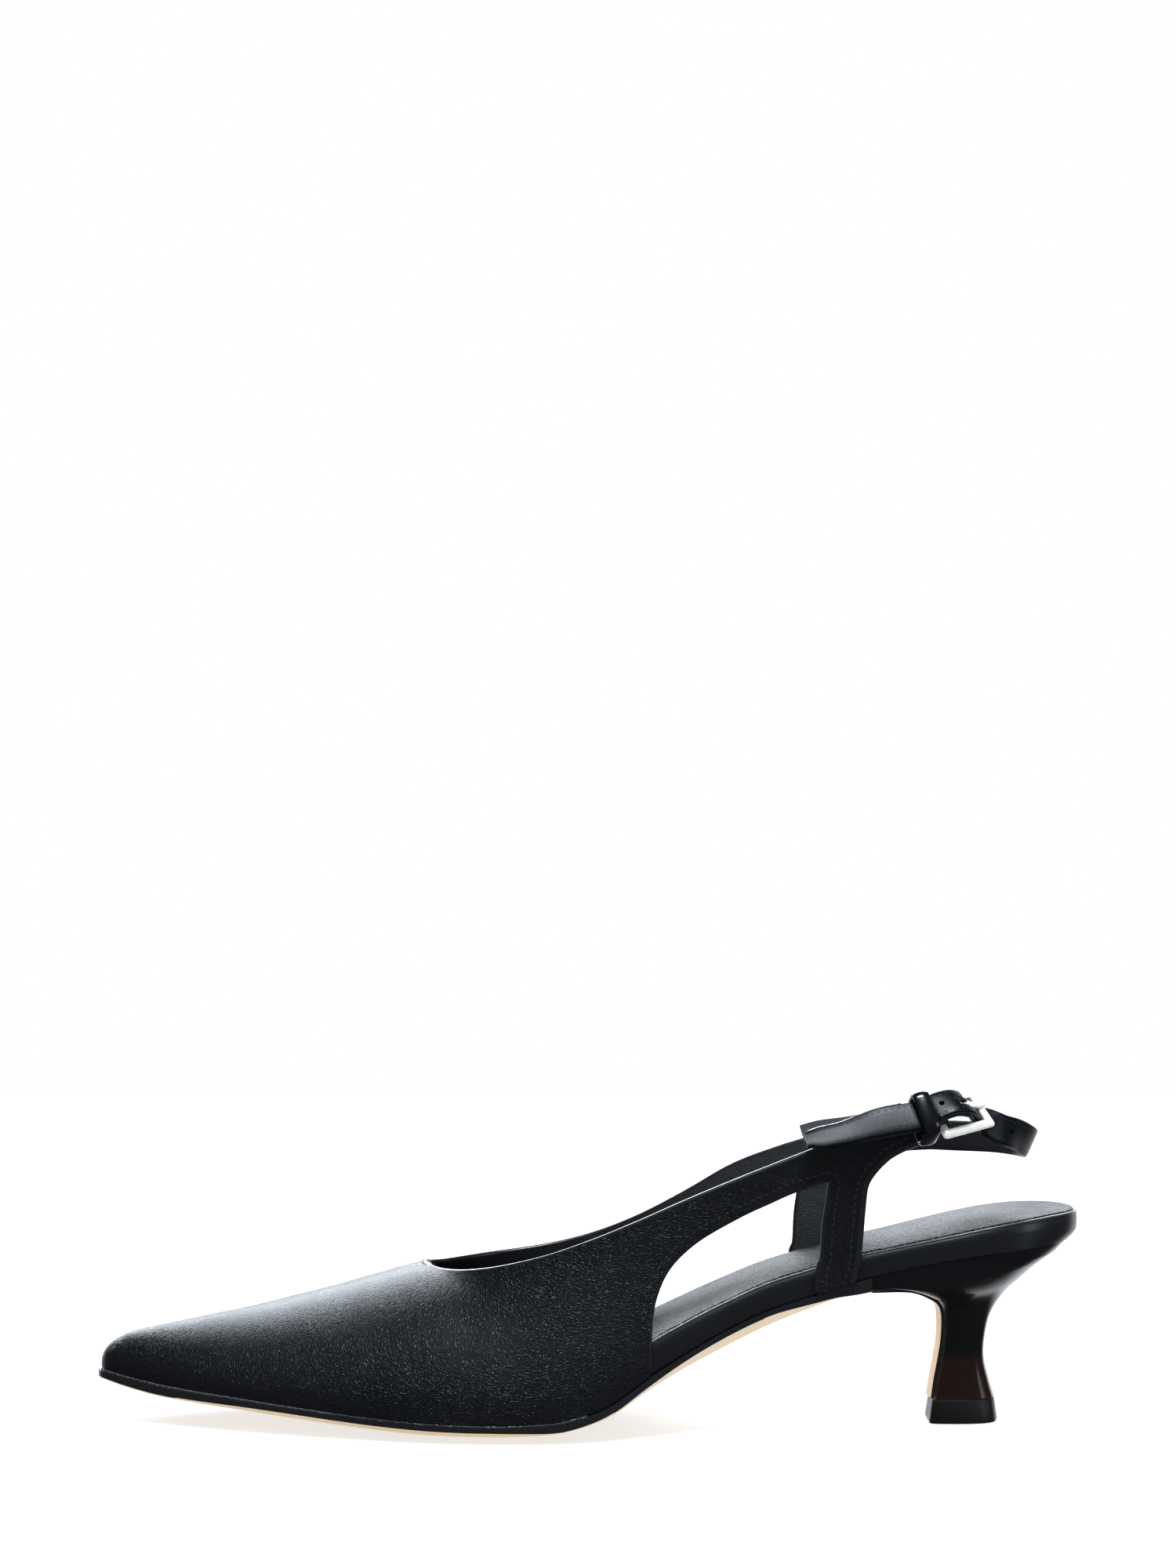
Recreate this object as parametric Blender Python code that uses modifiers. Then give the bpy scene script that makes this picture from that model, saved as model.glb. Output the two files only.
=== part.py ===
# Slingback pump, left shoe: pointed toe, cut-out sides, kitten heel and a buckled sling strap.
# Lengths are in metres. X runs from the toe to the heel, Y from the outer side of the foot
# (negative) to its inner side, and Z up from the floor.

import math

import bmesh
import bpy
import numpy as np
from mathutils import Vector

# The last: the form that the shoe is made over
LAST_LENGTH = 0.2576
BALL_WIDTH = 0.0731
BALL_LEVEL = 0.0043
TOE_SPRING = 0.0085
HEEL_RISE = 0.0429
INSTEP_DEPTH = 0.0374

# Leather, board and padding
UPPER_WALL = 0.0016
CLEARANCE = 0.0003
RIM_HEIGHT = 0.0071
RIM_ROUNDING = 0.0008
SOCK_THICKNESS = 0.0010
SOCK_INSET = 0.0011
HEEL_PAD = 0.0012

# Outsole, heel and top-lift
SOLE_EDGE = 0.0022
SEAT_INSET = 0.0004
SOLE_MARGIN = 0.0010
WAIST_TUCK = 0.0012
SOLE_CROWN = 0.0062
BREAST_COVER = 0.0015
LIFT_HEIGHT = 0.0062
LIFT_FLARE = 0.0008
LIFT_ROUNDING = 0.0006

# Sling strap, keeper and buckle
STRAP_WIDTH = 0.0080
STRAP_PLY = 0.0011
LINING_PLY = 0.0009
TIP_PARTING = 0.0014
TIP_LIFT = 0.0022
KEEPER_WIDTH = 0.0045
KEEPER_PLY = 0.0011
KEEPER_WIDE = 0.0094
KEEPER_DEEP = 0.0080
KEEPER_RADIUS = 0.0016
KEEPER_RISE = 0.0006
KEEPER_OUT = 0.0014
BILLET_PLY = 0.0010
BILLET_WIDTH = 0.0064
FRAME_LENGTH = 0.0145
FRAME_BAR = 0.0022
FRAME_THICKNESS = 0.0017
FRAME_CORNER = 0.0009
FRAME_INSIDE_CORNER = 0.0003
TAIL_TO_BAR = 0.0071
TAIL_TO_FRAME = 0.0008
PRONG_WIDTH = 0.0017
PRONG_THICKNESS = 0.0010
PRONG_SLOT = 0.0005
PRONG_TURN = 200.0
PRONG_TIP = 0.8
FOLD_GAP = 0.0002

# Which side of the foot: the sign of Y there
OUTER = -1
INNER = 1

# Sections of the last, toe to heel. Columns: place along the length; edge on the outer and on
# the inner side, as shares of the ball width; shares of the toe spring and of the heel rise
# under the edge; height of the insole's rim; depth of the outsole's crown and of its edge
LAST = np.array((
    (0.000, 0.068, 0.068, 1.00, 0.000, 0.34, 0.10, 0.65),
    (0.004, 0.031, 0.105, 0.97, 0.000, 0.34, 0.14, 0.70),
    (0.015, -0.003, 0.141, 0.92, 0.000, 0.34, 0.20, 0.80),
    (0.035, -0.044, 0.183, 0.82, 0.000, 0.34, 0.27, 0.93),
    (0.064, -0.098, 0.234, 0.69, 0.000, 0.34, 0.34, 1.00),
    (0.104, -0.172, 0.293, 0.58, 0.000, 0.34, 0.40, 1.00),
    (0.151, -0.249, 0.352, 0.47, 0.000, 0.34, 0.45, 1.00),
    (0.199, -0.317, 0.404, 0.34, 0.000, 0.34, 0.48, 1.00),
    (0.246, -0.378, 0.445, 0.22, 0.000, 0.34, 0.50, 1.00),
    (0.292, -0.427, 0.476, 0.11, 0.000, 0.34, 0.50, 1.00),
    (0.341, -0.472, 0.497, 0.03, 0.000, 0.34, 0.48, 1.00),
    (0.392, -0.498, 0.490, 0.00, 0.000, 0.36, 0.46, 1.00),
    (0.436, -0.501, 0.462, 0.00, 0.004, 0.41, 0.46, 1.00),
    (0.478, -0.487, 0.424, 0.00, 0.026, 0.56, 0.50, 1.00),
    (0.520, -0.461, 0.383, 0.00, 0.112, 0.82, 0.62, 1.00),
    (0.559, -0.428, 0.346, 0.00, 0.262, 1.08, 0.72, 0.86),
    (0.597, -0.397, 0.313, 0.00, 0.398, 1.03, 0.82, 0.68),
    (0.640, -0.368, 0.286, 0.00, 0.538, 0.94, 0.88, 0.68),
    (0.683, -0.347, 0.271, 0.00, 0.653, 0.92, 0.80, 0.68),
    (0.726, -0.337, 0.268, 0.00, 0.734, 0.91, 0.52, 0.90),
    (0.768, -0.331, 0.278, 0.00, 0.815, 0.86, 0.24, 1.25),
    (0.811, -0.330, 0.294, 0.00, 0.881, 0.80, 0.10, 1.35),
    (0.858, -0.328, 0.311, 0.00, 0.939, 0.82, 0.10, 1.00),
    (0.900, -0.320, 0.316, 0.00, 0.976, 0.91, 0.10, 1.00),
    (0.935, -0.290, 0.290, 0.00, 1.000, 0.97, 0.10, 1.00),
    (0.962, -0.237, 0.237, 0.00, 1.011, 1.01, 0.10, 1.00),
    (0.984, -0.163, 0.163, 0.00, 1.016, 1.03, 0.10, 1.00),
    (0.996, -0.082, 0.082, 0.00, 1.016, 1.03, 0.10, 1.00),
    (1.000, 0.000, 0.000, 0.00, 1.016, 1.03, 0.10, 1.00),
))

# Ridge of the vamp over the first sections of the last. Columns: place along the length,
# side as a share of the ball width, height over the edge below as a share of the instep depth
RIDGE = np.array((
    (0.017, 0.068, 0.215),
    (0.021, 0.068, 0.237),
    (0.030, 0.069, 0.278),
    (0.046, 0.070, 0.328),
    (0.072, 0.070, 0.394),
    (0.111, 0.067, 0.475),
    (0.157, 0.061, 0.566),
    (0.205, 0.053, 0.680),
    (0.254, 0.042, 0.797),
    (0.298, 0.032, 0.922),
    (0.333, 0.022, 1.003),
))
# Topline over the sections behind the throat, on the outer side, same columns
OUTER_TOPLINE = np.array((
    (0.357, -0.150, 0.978),
    (0.397, -0.278, 1.008),
    (0.452, -0.358, 1.076),
    (0.502, -0.387, 1.096),
    (0.551, -0.396, 1.061),
    (0.601, -0.394, 1.055),
    (0.652, -0.387, 1.037),
    (0.700, -0.379, 1.034),
    (0.749, -0.374, 1.070),
    (0.795, -0.367, 1.094),
    (0.842, -0.350, 1.109),
))
# On the inner side, which is cut a little lower
INNER_TOPLINE = np.array((
    (0.357, 0.195, 0.976),
    (0.397, 0.312, 0.995),
    (0.452, 0.374, 1.022),
    (0.502, 0.388, 0.979),
    (0.551, 0.386, 0.915),
    (0.601, 0.378, 0.935),
    (0.652, 0.369, 0.976),
    (0.700, 0.360, 0.973),
    (0.749, 0.353, 0.985),
    (0.795, 0.346, 0.982),
    (0.842, 0.339, 0.959),
))

# How the wall stands on each section. Columns: bulge over the edge, as a share of the ball
# width; rise before it turns in; reach of the turn; fall of the turn behind the throat;
# outward belly under the topline, as a share of the ball width
WALL = np.array((
    (0.008, 0.50, 0.60, 0.00, 0.000),
    (0.008, 0.50, 0.60, 0.00, 0.000),
    (0.008, 0.50, 0.58, 0.00, 0.000),
    (0.010, 0.50, 0.56, 0.00, 0.000),
    (0.012, 0.50, 0.54, 0.00, 0.000),
    (0.014, 0.50, 0.52, 0.00, 0.000),
    (0.016, 0.50, 0.50, 0.00, 0.000),
    (0.020, 0.50, 0.50, 0.00, 0.000),
    (0.024, 0.50, 0.50, 0.00, 0.000),
    (0.026, 0.49, 0.50, 0.00, 0.000),
    (0.028, 0.48, 0.50, 0.00, 0.000),
    (0.028, 0.46, 0.46, 0.10, 0.000),
    (0.026, 0.42, 0.42, 0.20, 0.000),
    (0.024, 0.38, 0.40, 0.26, 0.000),
    (0.022, 0.34, 0.36, 0.30, 0.000),
    (0.020, 0.33, 0.33, 0.33, 0.000),
    (0.018, 0.33, 0.33, 0.33, 0.000),
    (0.016, 0.33, 0.33, 0.33, 0.000),
    (0.012, 0.33, 0.33, 0.33, 0.000),
    (0.010, 0.33, 0.33, 0.33, 0.008),
    (0.010, 0.33, 0.33, 0.33, 0.024),
    (0.010, 0.33, 0.33, 0.33, 0.044),
))
# Sections where the ridge ends, where the quarters end, where the outsole's edge moves in under
# the waist, where the insole's rim comes out to the edge, and where the heel pad starts and fills
THROAT_ROW = len(RIDGE) - 1
TAIL_ROW = len(WALL) - 1
TUCK_ROWS = (13.5, 17.5)
RIM_OUT_ROWS = (20.2, 22.6)
PAD_ROWS = (17.0, 22.0)
PAD_FADE = 3.0
TOPLINE = np.vstack((INNER_TOPLINE[::-1], RIDGE[-1:], OUTER_TOPLINE))

# Cut-out in each side, seen from the side. Columns: place along the length, height as a share
# of the way from the insole's rim (0) to the topline (1)
WINDOW_FRONT = np.array((
    (0.561, -1.80),
    (0.561, -0.60),
    (0.561, 0.105),
    (0.562, 0.225),
    (0.565, 0.350),
    (0.572, 0.475),
    (0.582, 0.565),
    (0.597, 0.630),
    (0.617, 0.675),
    (0.653, 0.710),
    (0.680, 0.720),
    (0.707, 0.735),
    (0.738, 0.720),
))
WINDOW_BACK = np.array((
    (0.742, 0.700),
    (0.740, 0.570),
    (0.736, 0.350),
    (0.734, 0.090),
    (0.729, -0.180),
    (0.729, -1.80),
))
# Back edge of the side strap and underside of the quarter's tail, same columns
TAIL_OUTLINE = np.array((
    (0.759, -1.80),
    (0.760, -0.200),
    (0.766, -0.090),
    (0.770, 0.100),
    (0.773, 0.410),
    (0.776, 0.575),
    (0.785, 0.670),
    (0.799, 0.745),
    (0.815, 0.780),
    (0.827, 0.795),
))
INNER_CUT_SHIFT = -0.0046
# How far from the middle of the shoe the cutters start and end
CUT_START = 0.004
CUT_END = 0.064

# Breast of the heel, from the seat's front edge down to the top-lift. Columns: place along
# the length; height as a share of the way from the top-lift to the seat's front edge; half
# width of its cover as a share of the ball width; share of the outsole's crown left under it
BREAST = np.array((
    (0.784, 0.922, 0.290, 0.10),
    (0.814, 0.909, 0.236, 0.05),
    (0.832, 0.877, 0.186, 0.02),
    (0.848, 0.818, 0.146, 0.00),
    (0.858, 0.760, 0.119, 0.00),
    (0.863, 0.656, 0.097, 0.00),
    (0.863, 0.469, 0.080, 0.00),
    (0.860, 0.310, 0.075, 0.00),
    (0.856, 0.150, 0.076, 0.00),
    (0.853, 0.000, 0.080, 0.00),
))
# Row where the cover is centred on the heel, and its edge as a share of its thickness
COVER_CENTRED = 3.0
COVER_EDGE = 0.6
# The heel's sections, from the seat down. Columns: place of the back along the length; height
# of the back, as a share of the way from the top-lift to the back of the seat; half width as
# a share of the ball width; how far the section takes the outline of the seat
HEEL = np.array((
    (0.979, 0.946, 0.315, 1.00),
    (0.971, 0.915, 0.290, 0.84),
    (0.958, 0.859, 0.254, 0.58),
    (0.943, 0.780, 0.205, 0.30),
    (0.926, 0.678, 0.152, 0.10),
    (0.912, 0.537, 0.109, 0.00),
    (0.906, 0.383, 0.085, 0.00),
    (0.905, 0.244, 0.081, 0.00),
    (0.910, 0.107, 0.083, 0.00),
    (0.915, 0.000, 0.088, 0.00),
))
SEAT_BACK = 0.986
# Half outline of the heel's neck and of the top-lift. Columns: place from the breast to the
# back, half width
NECK_OUTLINE = np.array((
    (0.00, 0.00),
    (0.00, 0.45),
    (0.00, 0.84),
    (0.07, 0.96),
    (0.25, 1.00),
    (0.45, 1.00),
    (0.63, 0.96),
    (0.80, 0.84),
    (0.94, 0.55),
    (1.00, 0.00),
))

# Direction of the buckle: from its hinge bar to its back bar, and from its lower side up
FRAME_ALONG = Vector((0.924, 0.314, 0.207)).normalized()
FRAME_LEAN = 52.0
# How far the cut end of the quarter's tail moves forward as it rises
TAIL_SLANT = 0.31
# The keeper turns with the strap between the quarter's tail and the buckle
KEEPER_ALONG = Vector((0.950, 0.230, 0.210)).normalized()
KEEPER_LEAN = 30.0

# The strap's free end, over the outer topline. Columns: place along the length, height over
# the topline and distance out of it as shares of the strap's width, lean in degrees
FREE_END = np.array((
    (0.715, 0.55, 0.38, 42.0),
    (0.737, 0.42, 0.33, 38.0),
    (0.760, 0.28, 0.29, 35.0),
    (0.790, 0.14, 0.27, 32.0),
))
# Rows over which the lining parts from the free end, and how much each ply narrows to its tip
PARTED_ROWS = 3
PLY_TAPER = 0.5
LINING_TAPER = 0.1
# The strap at the keeper and the buckle. Columns: place from the frame's middle (0) to its
# bars (-1, 1); distance out of the frame's plane and up along it, as shares of the strap's
# width; lean in degrees
AT_BUCKLE = np.array((
    (-1.62, 0.36, 0.03, 35.0),
    (-1.06, 0.54, 0.04, 42.0),
    (-0.42, 0.60, 0.02, 50.0),
    (0.07, 0.45, 0.00, 51.0),
    (0.38, 0.12, 0.00, 51.0),
    (0.70, -0.26, -0.02, 50.0),
    (1.12, -0.50, -0.05, 44.0),
))
# The prong, from its loop to its tip. Columns: place from the frame's middle to its bars, rise
# over its rest on the back bar in thicknesses of the prong
PRONG_ARCH = (
    (-0.50, 0.95),
    (0.00, 1.35),
    (0.50, 0.85),
    (0.88, 0.12),
    (1.12, 0.00),
)
# Where the hole that the prong passes through starts and ends, on the same scale
HOLE_REACH = (-0.36, 0.62)
# The buckle's own short strap, before and after it folds round the hinge bar. Columns: place
# from the frame's middle to its bars, distance out of the frame's plane in thicknesses of the
# strap, lean in degrees
BILLET_OUTSIDE = np.array((
    (-2.02, -0.90, 24.0),
    (-1.70, -0.20, 30.0),
    (-1.38, 0.80, 44.0),
))
BILLET_INSIDE = np.array((
    (-1.15, -1.80, 51.0),
))
# The strap behind the buckle, round the back of the heel. Columns: place along the length,
# distance from the middle as a share of the ball width, height as a share of the way from the
# seat to the outer tail, lean in degrees
ROUND_HEEL = np.array((
    (0.915, -0.232, 0.845, 14.0),
    (0.933, -0.160, 0.795, -8.0),
    (0.947, -0.070, 0.730, -22.0),
    (0.949, 0.030, 0.702, -24.0),
    (0.941, 0.120, 0.698, -14.0),
    (0.920, 0.200, 0.704, -4.0),
    (0.885, 0.256, 0.705, 2.0),
    (0.848, 0.286, 0.705, 4.0),
))
# The strap inside the inner quarter. Columns: place along the length; distance from the wall
# and depth of its middle below the topline, as shares of the strap's width; lean in degrees
IN_QUARTER = np.array((
    (0.806, 0.20, 0.50, 2.0),
    (0.780, 0.24, 0.52, 2.0),
    (0.752, 0.28, 0.56, 2.0),
))

# How finely curved pieces are divided
STEPS_PER_SECTION = 2
WALL_STEPS = 11
OUTLINE_STEPS = 2
STRAP_STEPS = 3
ARC_STEPS = 8
SOLE_ACROSS = 8
PLATE_ACROSS = 5


def clearScene():
    for old in list(bpy.data.objects):
        bpy.data.objects.remove(old, do_unlink=True)


def makeMaterial(name, colour, roughness, metallic=0.0):
    material = bpy.data.materials.new(name)
    material.use_nodes = True
    shader = material.node_tree.nodes["Principled BSDF"]
    shader.inputs["Base Color"].default_value = (*colour, 1.0)
    shader.inputs["Roughness"].default_value = roughness
    shader.inputs["Metallic"].default_value = metallic
    material.diffuse_color = (*colour, 1.0)
    return material


# Curves through the rows of a table

def smoothRow(table, place):
    last = len(table) - 1
    place = min(max(place, 0.0), float(last))
    first = min(int(place), last - 1)
    part = place - first
    a, b = table[first], table[first + 1]
    slopeA = (b - table[first - 1]) / 2 if first > 0 else b - a
    slopeB = (table[first + 2] - a) / 2 if first + 2 <= last else b - a
    cubic, square = part ** 3, part ** 2
    return (
        (2 * cubic - 3 * square + 1) * a
        + (cubic - 2 * square + part) * slopeA
        + (3 * square - 2 * cubic) * b
        + (cubic - square) * slopeB
    )


def smoothOutline(table, steps):
    count = (len(table) - 1) * steps
    return [smoothRow(table, k / steps) for k in range(count + 1)]


def bezier(p0, p1, p2, p3, t):
    s = 1 - t
    return p0 * s ** 3 + p1 * 3 * s * s * t + p2 * 3 * s * t * t + p3 * t ** 3


def easeBetween(low, high, value):
    t = min(max((value - low) / (high - low), 0.0), 1.0)
    return t * t * (3 - 2 * t)


# The last

def alongToX(along):
    return (along - 0.5) * LAST_LENGTH


def edgeNormal(side, row):
    # Level direction out of the last at its edge
    step = 0.05
    last = len(LAST) - 1
    column = 1 if side == OUTER else 2
    ahead = smoothRow(LAST, row + step)
    behind = smoothRow(LAST, row - step)
    run = (ahead[0] - behind[0]) * LAST_LENGTH
    shift = (ahead[column] - behind[column]) * BALL_WIDTH
    if row < step or row > last - step:
        run = 0.0
    return Vector((-side * shift, side * run, 0.0)).normalized()


def edgeLevel(row):
    here = smoothRow(LAST, row)
    return BALL_LEVEL + here[3] * TOE_SPRING + here[4] * HEEL_RISE


def edgePoint(side, row, inset=0.0):
    # The last's edge, moved inwards by the inset
    here = smoothRow(LAST, row)
    column = 1 if side == OUTER else 2
    point = Vector((alongToX(here[0]), here[column] * BALL_WIDTH, edgeLevel(row)))
    return point - edgeNormal(side, row) * inset


def rimLevel(row):
    return edgeLevel(row) + CLEARANCE + smoothRow(LAST, row)[5] * RIM_HEIGHT


EDGE_ROWS = np.linspace(0.0, len(LAST) - 1, 561)
EDGE_XS = np.array([alongToX(smoothRow(LAST, row)[0]) for row in EDGE_ROWS])


def rowAtX(x):
    return float(np.interp(x, EDGE_XS, EDGE_ROWS))


# The upper's wall

def topPoint(side, row):
    # Upper boundary of the wall: the ridge, then the topline
    if row <= THROAT_ROW:
        here = smoothRow(RIDGE, row)
    else:
        here = smoothRow(TOPLINE, len(INNER_TOPLINE) - side * (row - THROAT_ROW))
    return Vector((alongToX(here[0]), here[1] * BALL_WIDTH, edgeLevel(row) + here[2] * INSTEP_DEPTH))


def ridgeSlope(row):
    ahead = topPoint(OUTER, min(row + 0.05, THROAT_ROW))
    behind = topPoint(OUTER, max(row - 0.05, 0.0))
    return (ahead.z - behind.z) / (ahead.x - behind.x)


def wallPoint(side, row, share):
    # Point of the wall's outer face, from the edge (0) to the ridge or topline (1)
    foot = edgePoint(side, row) + Vector((0.0, 0.0, CLEARANCE))
    top = topPoint(side, row)
    bulge, rise, reach, fall, belly = smoothRow(WALL, row)
    depth = top.z - foot.z
    level = Vector((foot.x - top.x, foot.y - top.y, 0.0))
    slope = ridgeSlope(min(row, THROAT_ROW)) * max(0.0, 1.0 - max(0.0, row - THROAT_ROW))
    normal = edgeNormal(side, row)
    low = foot + normal * bulge * BALL_WIDTH + Vector((0.0, 0.0, rise * depth))
    high = top + level * reach + normal * belly * BALL_WIDTH
    high.z += level.x * reach * slope - fall * depth
    return bezier(foot, low, high, top, share)


TOP_ROWS = np.linspace(THROAT_ROW, TAIL_ROW, 221)
TOP_POINTS = {side: np.array([topPoint(side, row) for row in TOP_ROWS]) for side in (OUTER, INNER)}


def toplineAtX(side, x):
    points = TOP_POINTS[side]
    return Vector((x, float(np.interp(x, points[:, 0], points[:, 1])), float(np.interp(x, points[:, 0], points[:, 2]))))


def sidePoint(side, along, height):
    # A point seen from the side, between the insole's rim (0) and the topline (1)
    x = alongToX(along)
    rim = rimLevel(rowAtX(x))
    return Vector((x, 0.0, rim + height * (toplineAtX(side, x).z - rim)))


# Meshes

def addObject(name, mesh, material, collection):
    item = bpy.data.objects.new(name, mesh)
    item.data.materials.append(material)
    collection.objects.link(item)
    return item


def meshFrom(bm, name):
    bmesh.ops.recalc_face_normals(bm, faces=bm.faces)
    mesh = bpy.data.meshes.new(name)
    bm.to_mesh(mesh)
    bm.free()
    mesh.shade_smooth()
    mesh.set_sharp_from_angle(angle=math.radians(38.0))
    return mesh


def loft(name, rings, joined=False):
    # Skin over rings of equal count; the ends are capped unless the last joins the first
    bm = bmesh.new()
    rows = [[bm.verts.new(point) for point in ring] for ring in rings]
    pairs = list(zip(rows, rows[1:]))
    if joined:
        pairs.append((rows[-1], rows[0]))
    for near, far in pairs:
        for k in range(len(near)):
            after = (k + 1) % len(near)
            bm.faces.new((near[k], near[after], far[after], far[k]))
    if not joined:
        for ring in (rows[0], rows[-1]):
            bm.faces.new(ring)
    return meshFrom(bm, name)


def plateRing(row, inset, bottom, top, soften, crown=0.0, across=PLATE_ACROSS):
    # Cross-section of a flat layer that fills the last's outline at one section
    outer = edgePoint(OUTER, row, inset)
    inner = edgePoint(INNER, row, inset)
    span = (inner - outer).length
    soft = min(soften, span * 0.2)
    height = top - bottom

    def at(share, z):
        point = outer.lerp(inner, share)
        return Vector((point.x, point.y, z))

    ring = [at(0.0, bottom + 0.2 * height), at(0.0, bottom + 0.75 * height)]
    for k in range(across + 1):
        share = soft / span + (1 - 2 * soft / span) * k / across
        ring.append(at(share, top + crown * (1 - (2 * share - 1) ** 2)))
    ring += [at(1.0, bottom + 0.75 * height), at(1.0, bottom + 0.2 * height)]
    ring += [at(1 - 0.5 * soft / span, bottom), at(0.5 * soft / span, bottom)]
    return ring


def stripRing(centre, axis, normal, width, thickness):
    # Cross-section of a strap with slightly rounded edges
    half, deep = width / 2, thickness / 2
    soft = min(deep * 0.6, half * 0.4)
    corners = (
        (-half + soft, -deep), (half - soft, -deep), (half, -deep + soft), (half, deep - soft),
        (half - soft, deep), (-half + soft, deep), (-half, deep - soft), (-half, -deep + soft),
    )
    return [centre + axis * a + normal * n for a, n in corners]


def sectionRows(first, last):
    count = max(1, round((last - first) * STEPS_PER_SECTION))
    return [first + (last - first) * k / count for k in range(count + 1)]


# The pieces

def makeUpper(material, collection, cutters):
    bm = bmesh.new()
    rows = sectionRows(0, TAIL_ROW)
    for side in (OUTER, INNER):
        grid = []
        for row in rows:
            grid.append([bm.verts.new(wallPoint(side, row, k / WALL_STEPS)) for k in range(WALL_STEPS + 1)])
        for near, far in zip(grid, grid[1:]):
            for k in range(WALL_STEPS):
                bm.faces.new((near[k], near[k + 1], far[k + 1], far[k]))
    bmesh.ops.remove_doubles(bm, verts=bm.verts, dist=0.00001)
    bmesh.ops.recalc_face_normals(bm, faces=bm.faces)
    toe = min(bm.faces, key=lambda face: face.calc_center_median().x)
    if toe.normal.x > 0:
        bmesh.ops.reverse_faces(bm, faces=bm.faces)
    mesh = bpy.data.meshes.new("upper")
    bm.to_mesh(mesh)
    bm.free()
    mesh.shade_smooth()
    upper = addObject("upper", mesh, material, collection)
    wall = upper.modifiers.new("wall", "SOLIDIFY")
    wall.thickness = UPPER_WALL
    wall.offset = -1.0
    wall.use_even_offset = True
    for cutter in cutters:
        cut = upper.modifiers.new("cut_" + cutter.name, "BOOLEAN")
        cut.object = cutter
        cut.operation = "DIFFERENCE"
        cut.solver = "EXACT"
    return upper


def makeCutter(name, side, outline, collection):
    bm = bmesh.new()
    near = [bm.verts.new(Vector((p.x, side * CUT_START, p.z))) for p in outline]
    face = bm.faces.new(near)
    made = bmesh.ops.extrude_face_region(bm, geom=[face])
    moved = [item for item in made["geom"] if isinstance(item, bmesh.types.BMVert)]
    bmesh.ops.translate(bm, verts=moved, vec=Vector((0.0, side * (CUT_END - CUT_START), 0.0)))
    cutter = bpy.data.objects.new(name, meshFrom(bm, name))
    cutter.hide_render = True
    cutter.display_type = "WIRE"
    collection.objects.link(cutter)
    return cutter


def makeCutters(collection):
    cutters = []
    for side, word in ((OUTER, "outer"), (INNER, "inner")):
        shift = 0.0 if side == OUTER else INNER_CUT_SHIFT / LAST_LENGTH
        rows = smoothOutline(WINDOW_FRONT, OUTLINE_STEPS) + smoothOutline(WINDOW_BACK, OUTLINE_STEPS)
        window = [sidePoint(side, along + shift, height) for along, height in rows]
        cutters.append(makeCutter("window_" + word, side, window, collection))
        rows = smoothOutline(TAIL_OUTLINE, OUTLINE_STEPS)
        behind = [sidePoint(side, along + shift, height) for along, height in rows]
        end = behind[-1]
        high = end.z + INSTEP_DEPTH
        low = behind[0].z
        far = alongToX(1.1)
        slant = TAIL_SLANT * (high - end.z)
        behind += [Vector((end.x - slant, 0.0, high)), Vector((far, 0.0, high)), Vector((far, 0.0, low))]
        cutters.append(makeCutter("behind_" + word, side, behind, collection))
    return cutters


def rimInset(row):
    # The insole's rim stands inside the upper, and comes out to the edge where the upper ends
    return (UPPER_WALL + CLEARANCE) * (1.0 - easeBetween(*RIM_OUT_ROWS, row))


def makeInsole(material, collection):
    last = len(LAST) - 1
    rings = []
    for row in sectionRows(0.3, last - 0.3):
        bottom = edgeLevel(row) + CLEARANCE
        rings.append(plateRing(row, rimInset(row), bottom, rimLevel(row), RIM_ROUNDING))
    return addObject("insole_board", loft("insole_board", rings), material, collection)


def makeSock(material, collection):
    last = len(LAST) - 1
    rings = []
    for row in sectionRows(0.5, last - 0.5):
        bottom = rimLevel(row) + CLEARANCE
        pad = HEEL_PAD * easeBetween(*PAD_ROWS, row) * easeBetween(last, last - PAD_FADE, row)
        inset = rimInset(row) + SOCK_INSET
        rings.append(plateRing(row, inset, bottom, bottom + SOCK_THICKNESS, SOCK_THICKNESS / 2, pad))
    return addObject("sock", loft("sock", rings), material, collection)


def soleRing(row, across=SOLE_ACROSS):
    # Cross-section of the outsole: flat top, square edge, and a crown flattened by the floor
    tuck = -SOLE_MARGIN + (SOLE_MARGIN + WAIST_TUCK) * easeBetween(*TUCK_ROWS, row)
    outer = edgePoint(OUTER, row, tuck)
    inner = edgePoint(INNER, row, tuck)
    top = edgeLevel(row)
    here = smoothRow(LAST, row)
    edge = top - here[7] * SOLE_EDGE
    crown = here[6] * SOLE_CROWN
    ring = []
    for k in range(across + 1):
        point = outer.lerp(inner, k / across)
        share = 2 * k / across - 1
        ring.append(Vector((point.x, point.y, max(0.0, edge - crown * (1 - share * share)))))
    for k in (2, 1, 0):
        point = outer.lerp(inner, k / 2)
        ring.append(Vector((point.x, point.y, top)))
    return ring


def seatFront():
    return Vector((alongToX(BREAST[0][0]), 0.0, edgeLevel(rowAtX(alongToX(BREAST[0][0])))))


def breastPoint(place):
    here = smoothRow(BREAST, place)
    low = LIFT_HEIGHT + CLEARANCE
    return Vector((alongToX(here[0]), 0.0, low + here[1] * (seatFront().z - low)))


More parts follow.
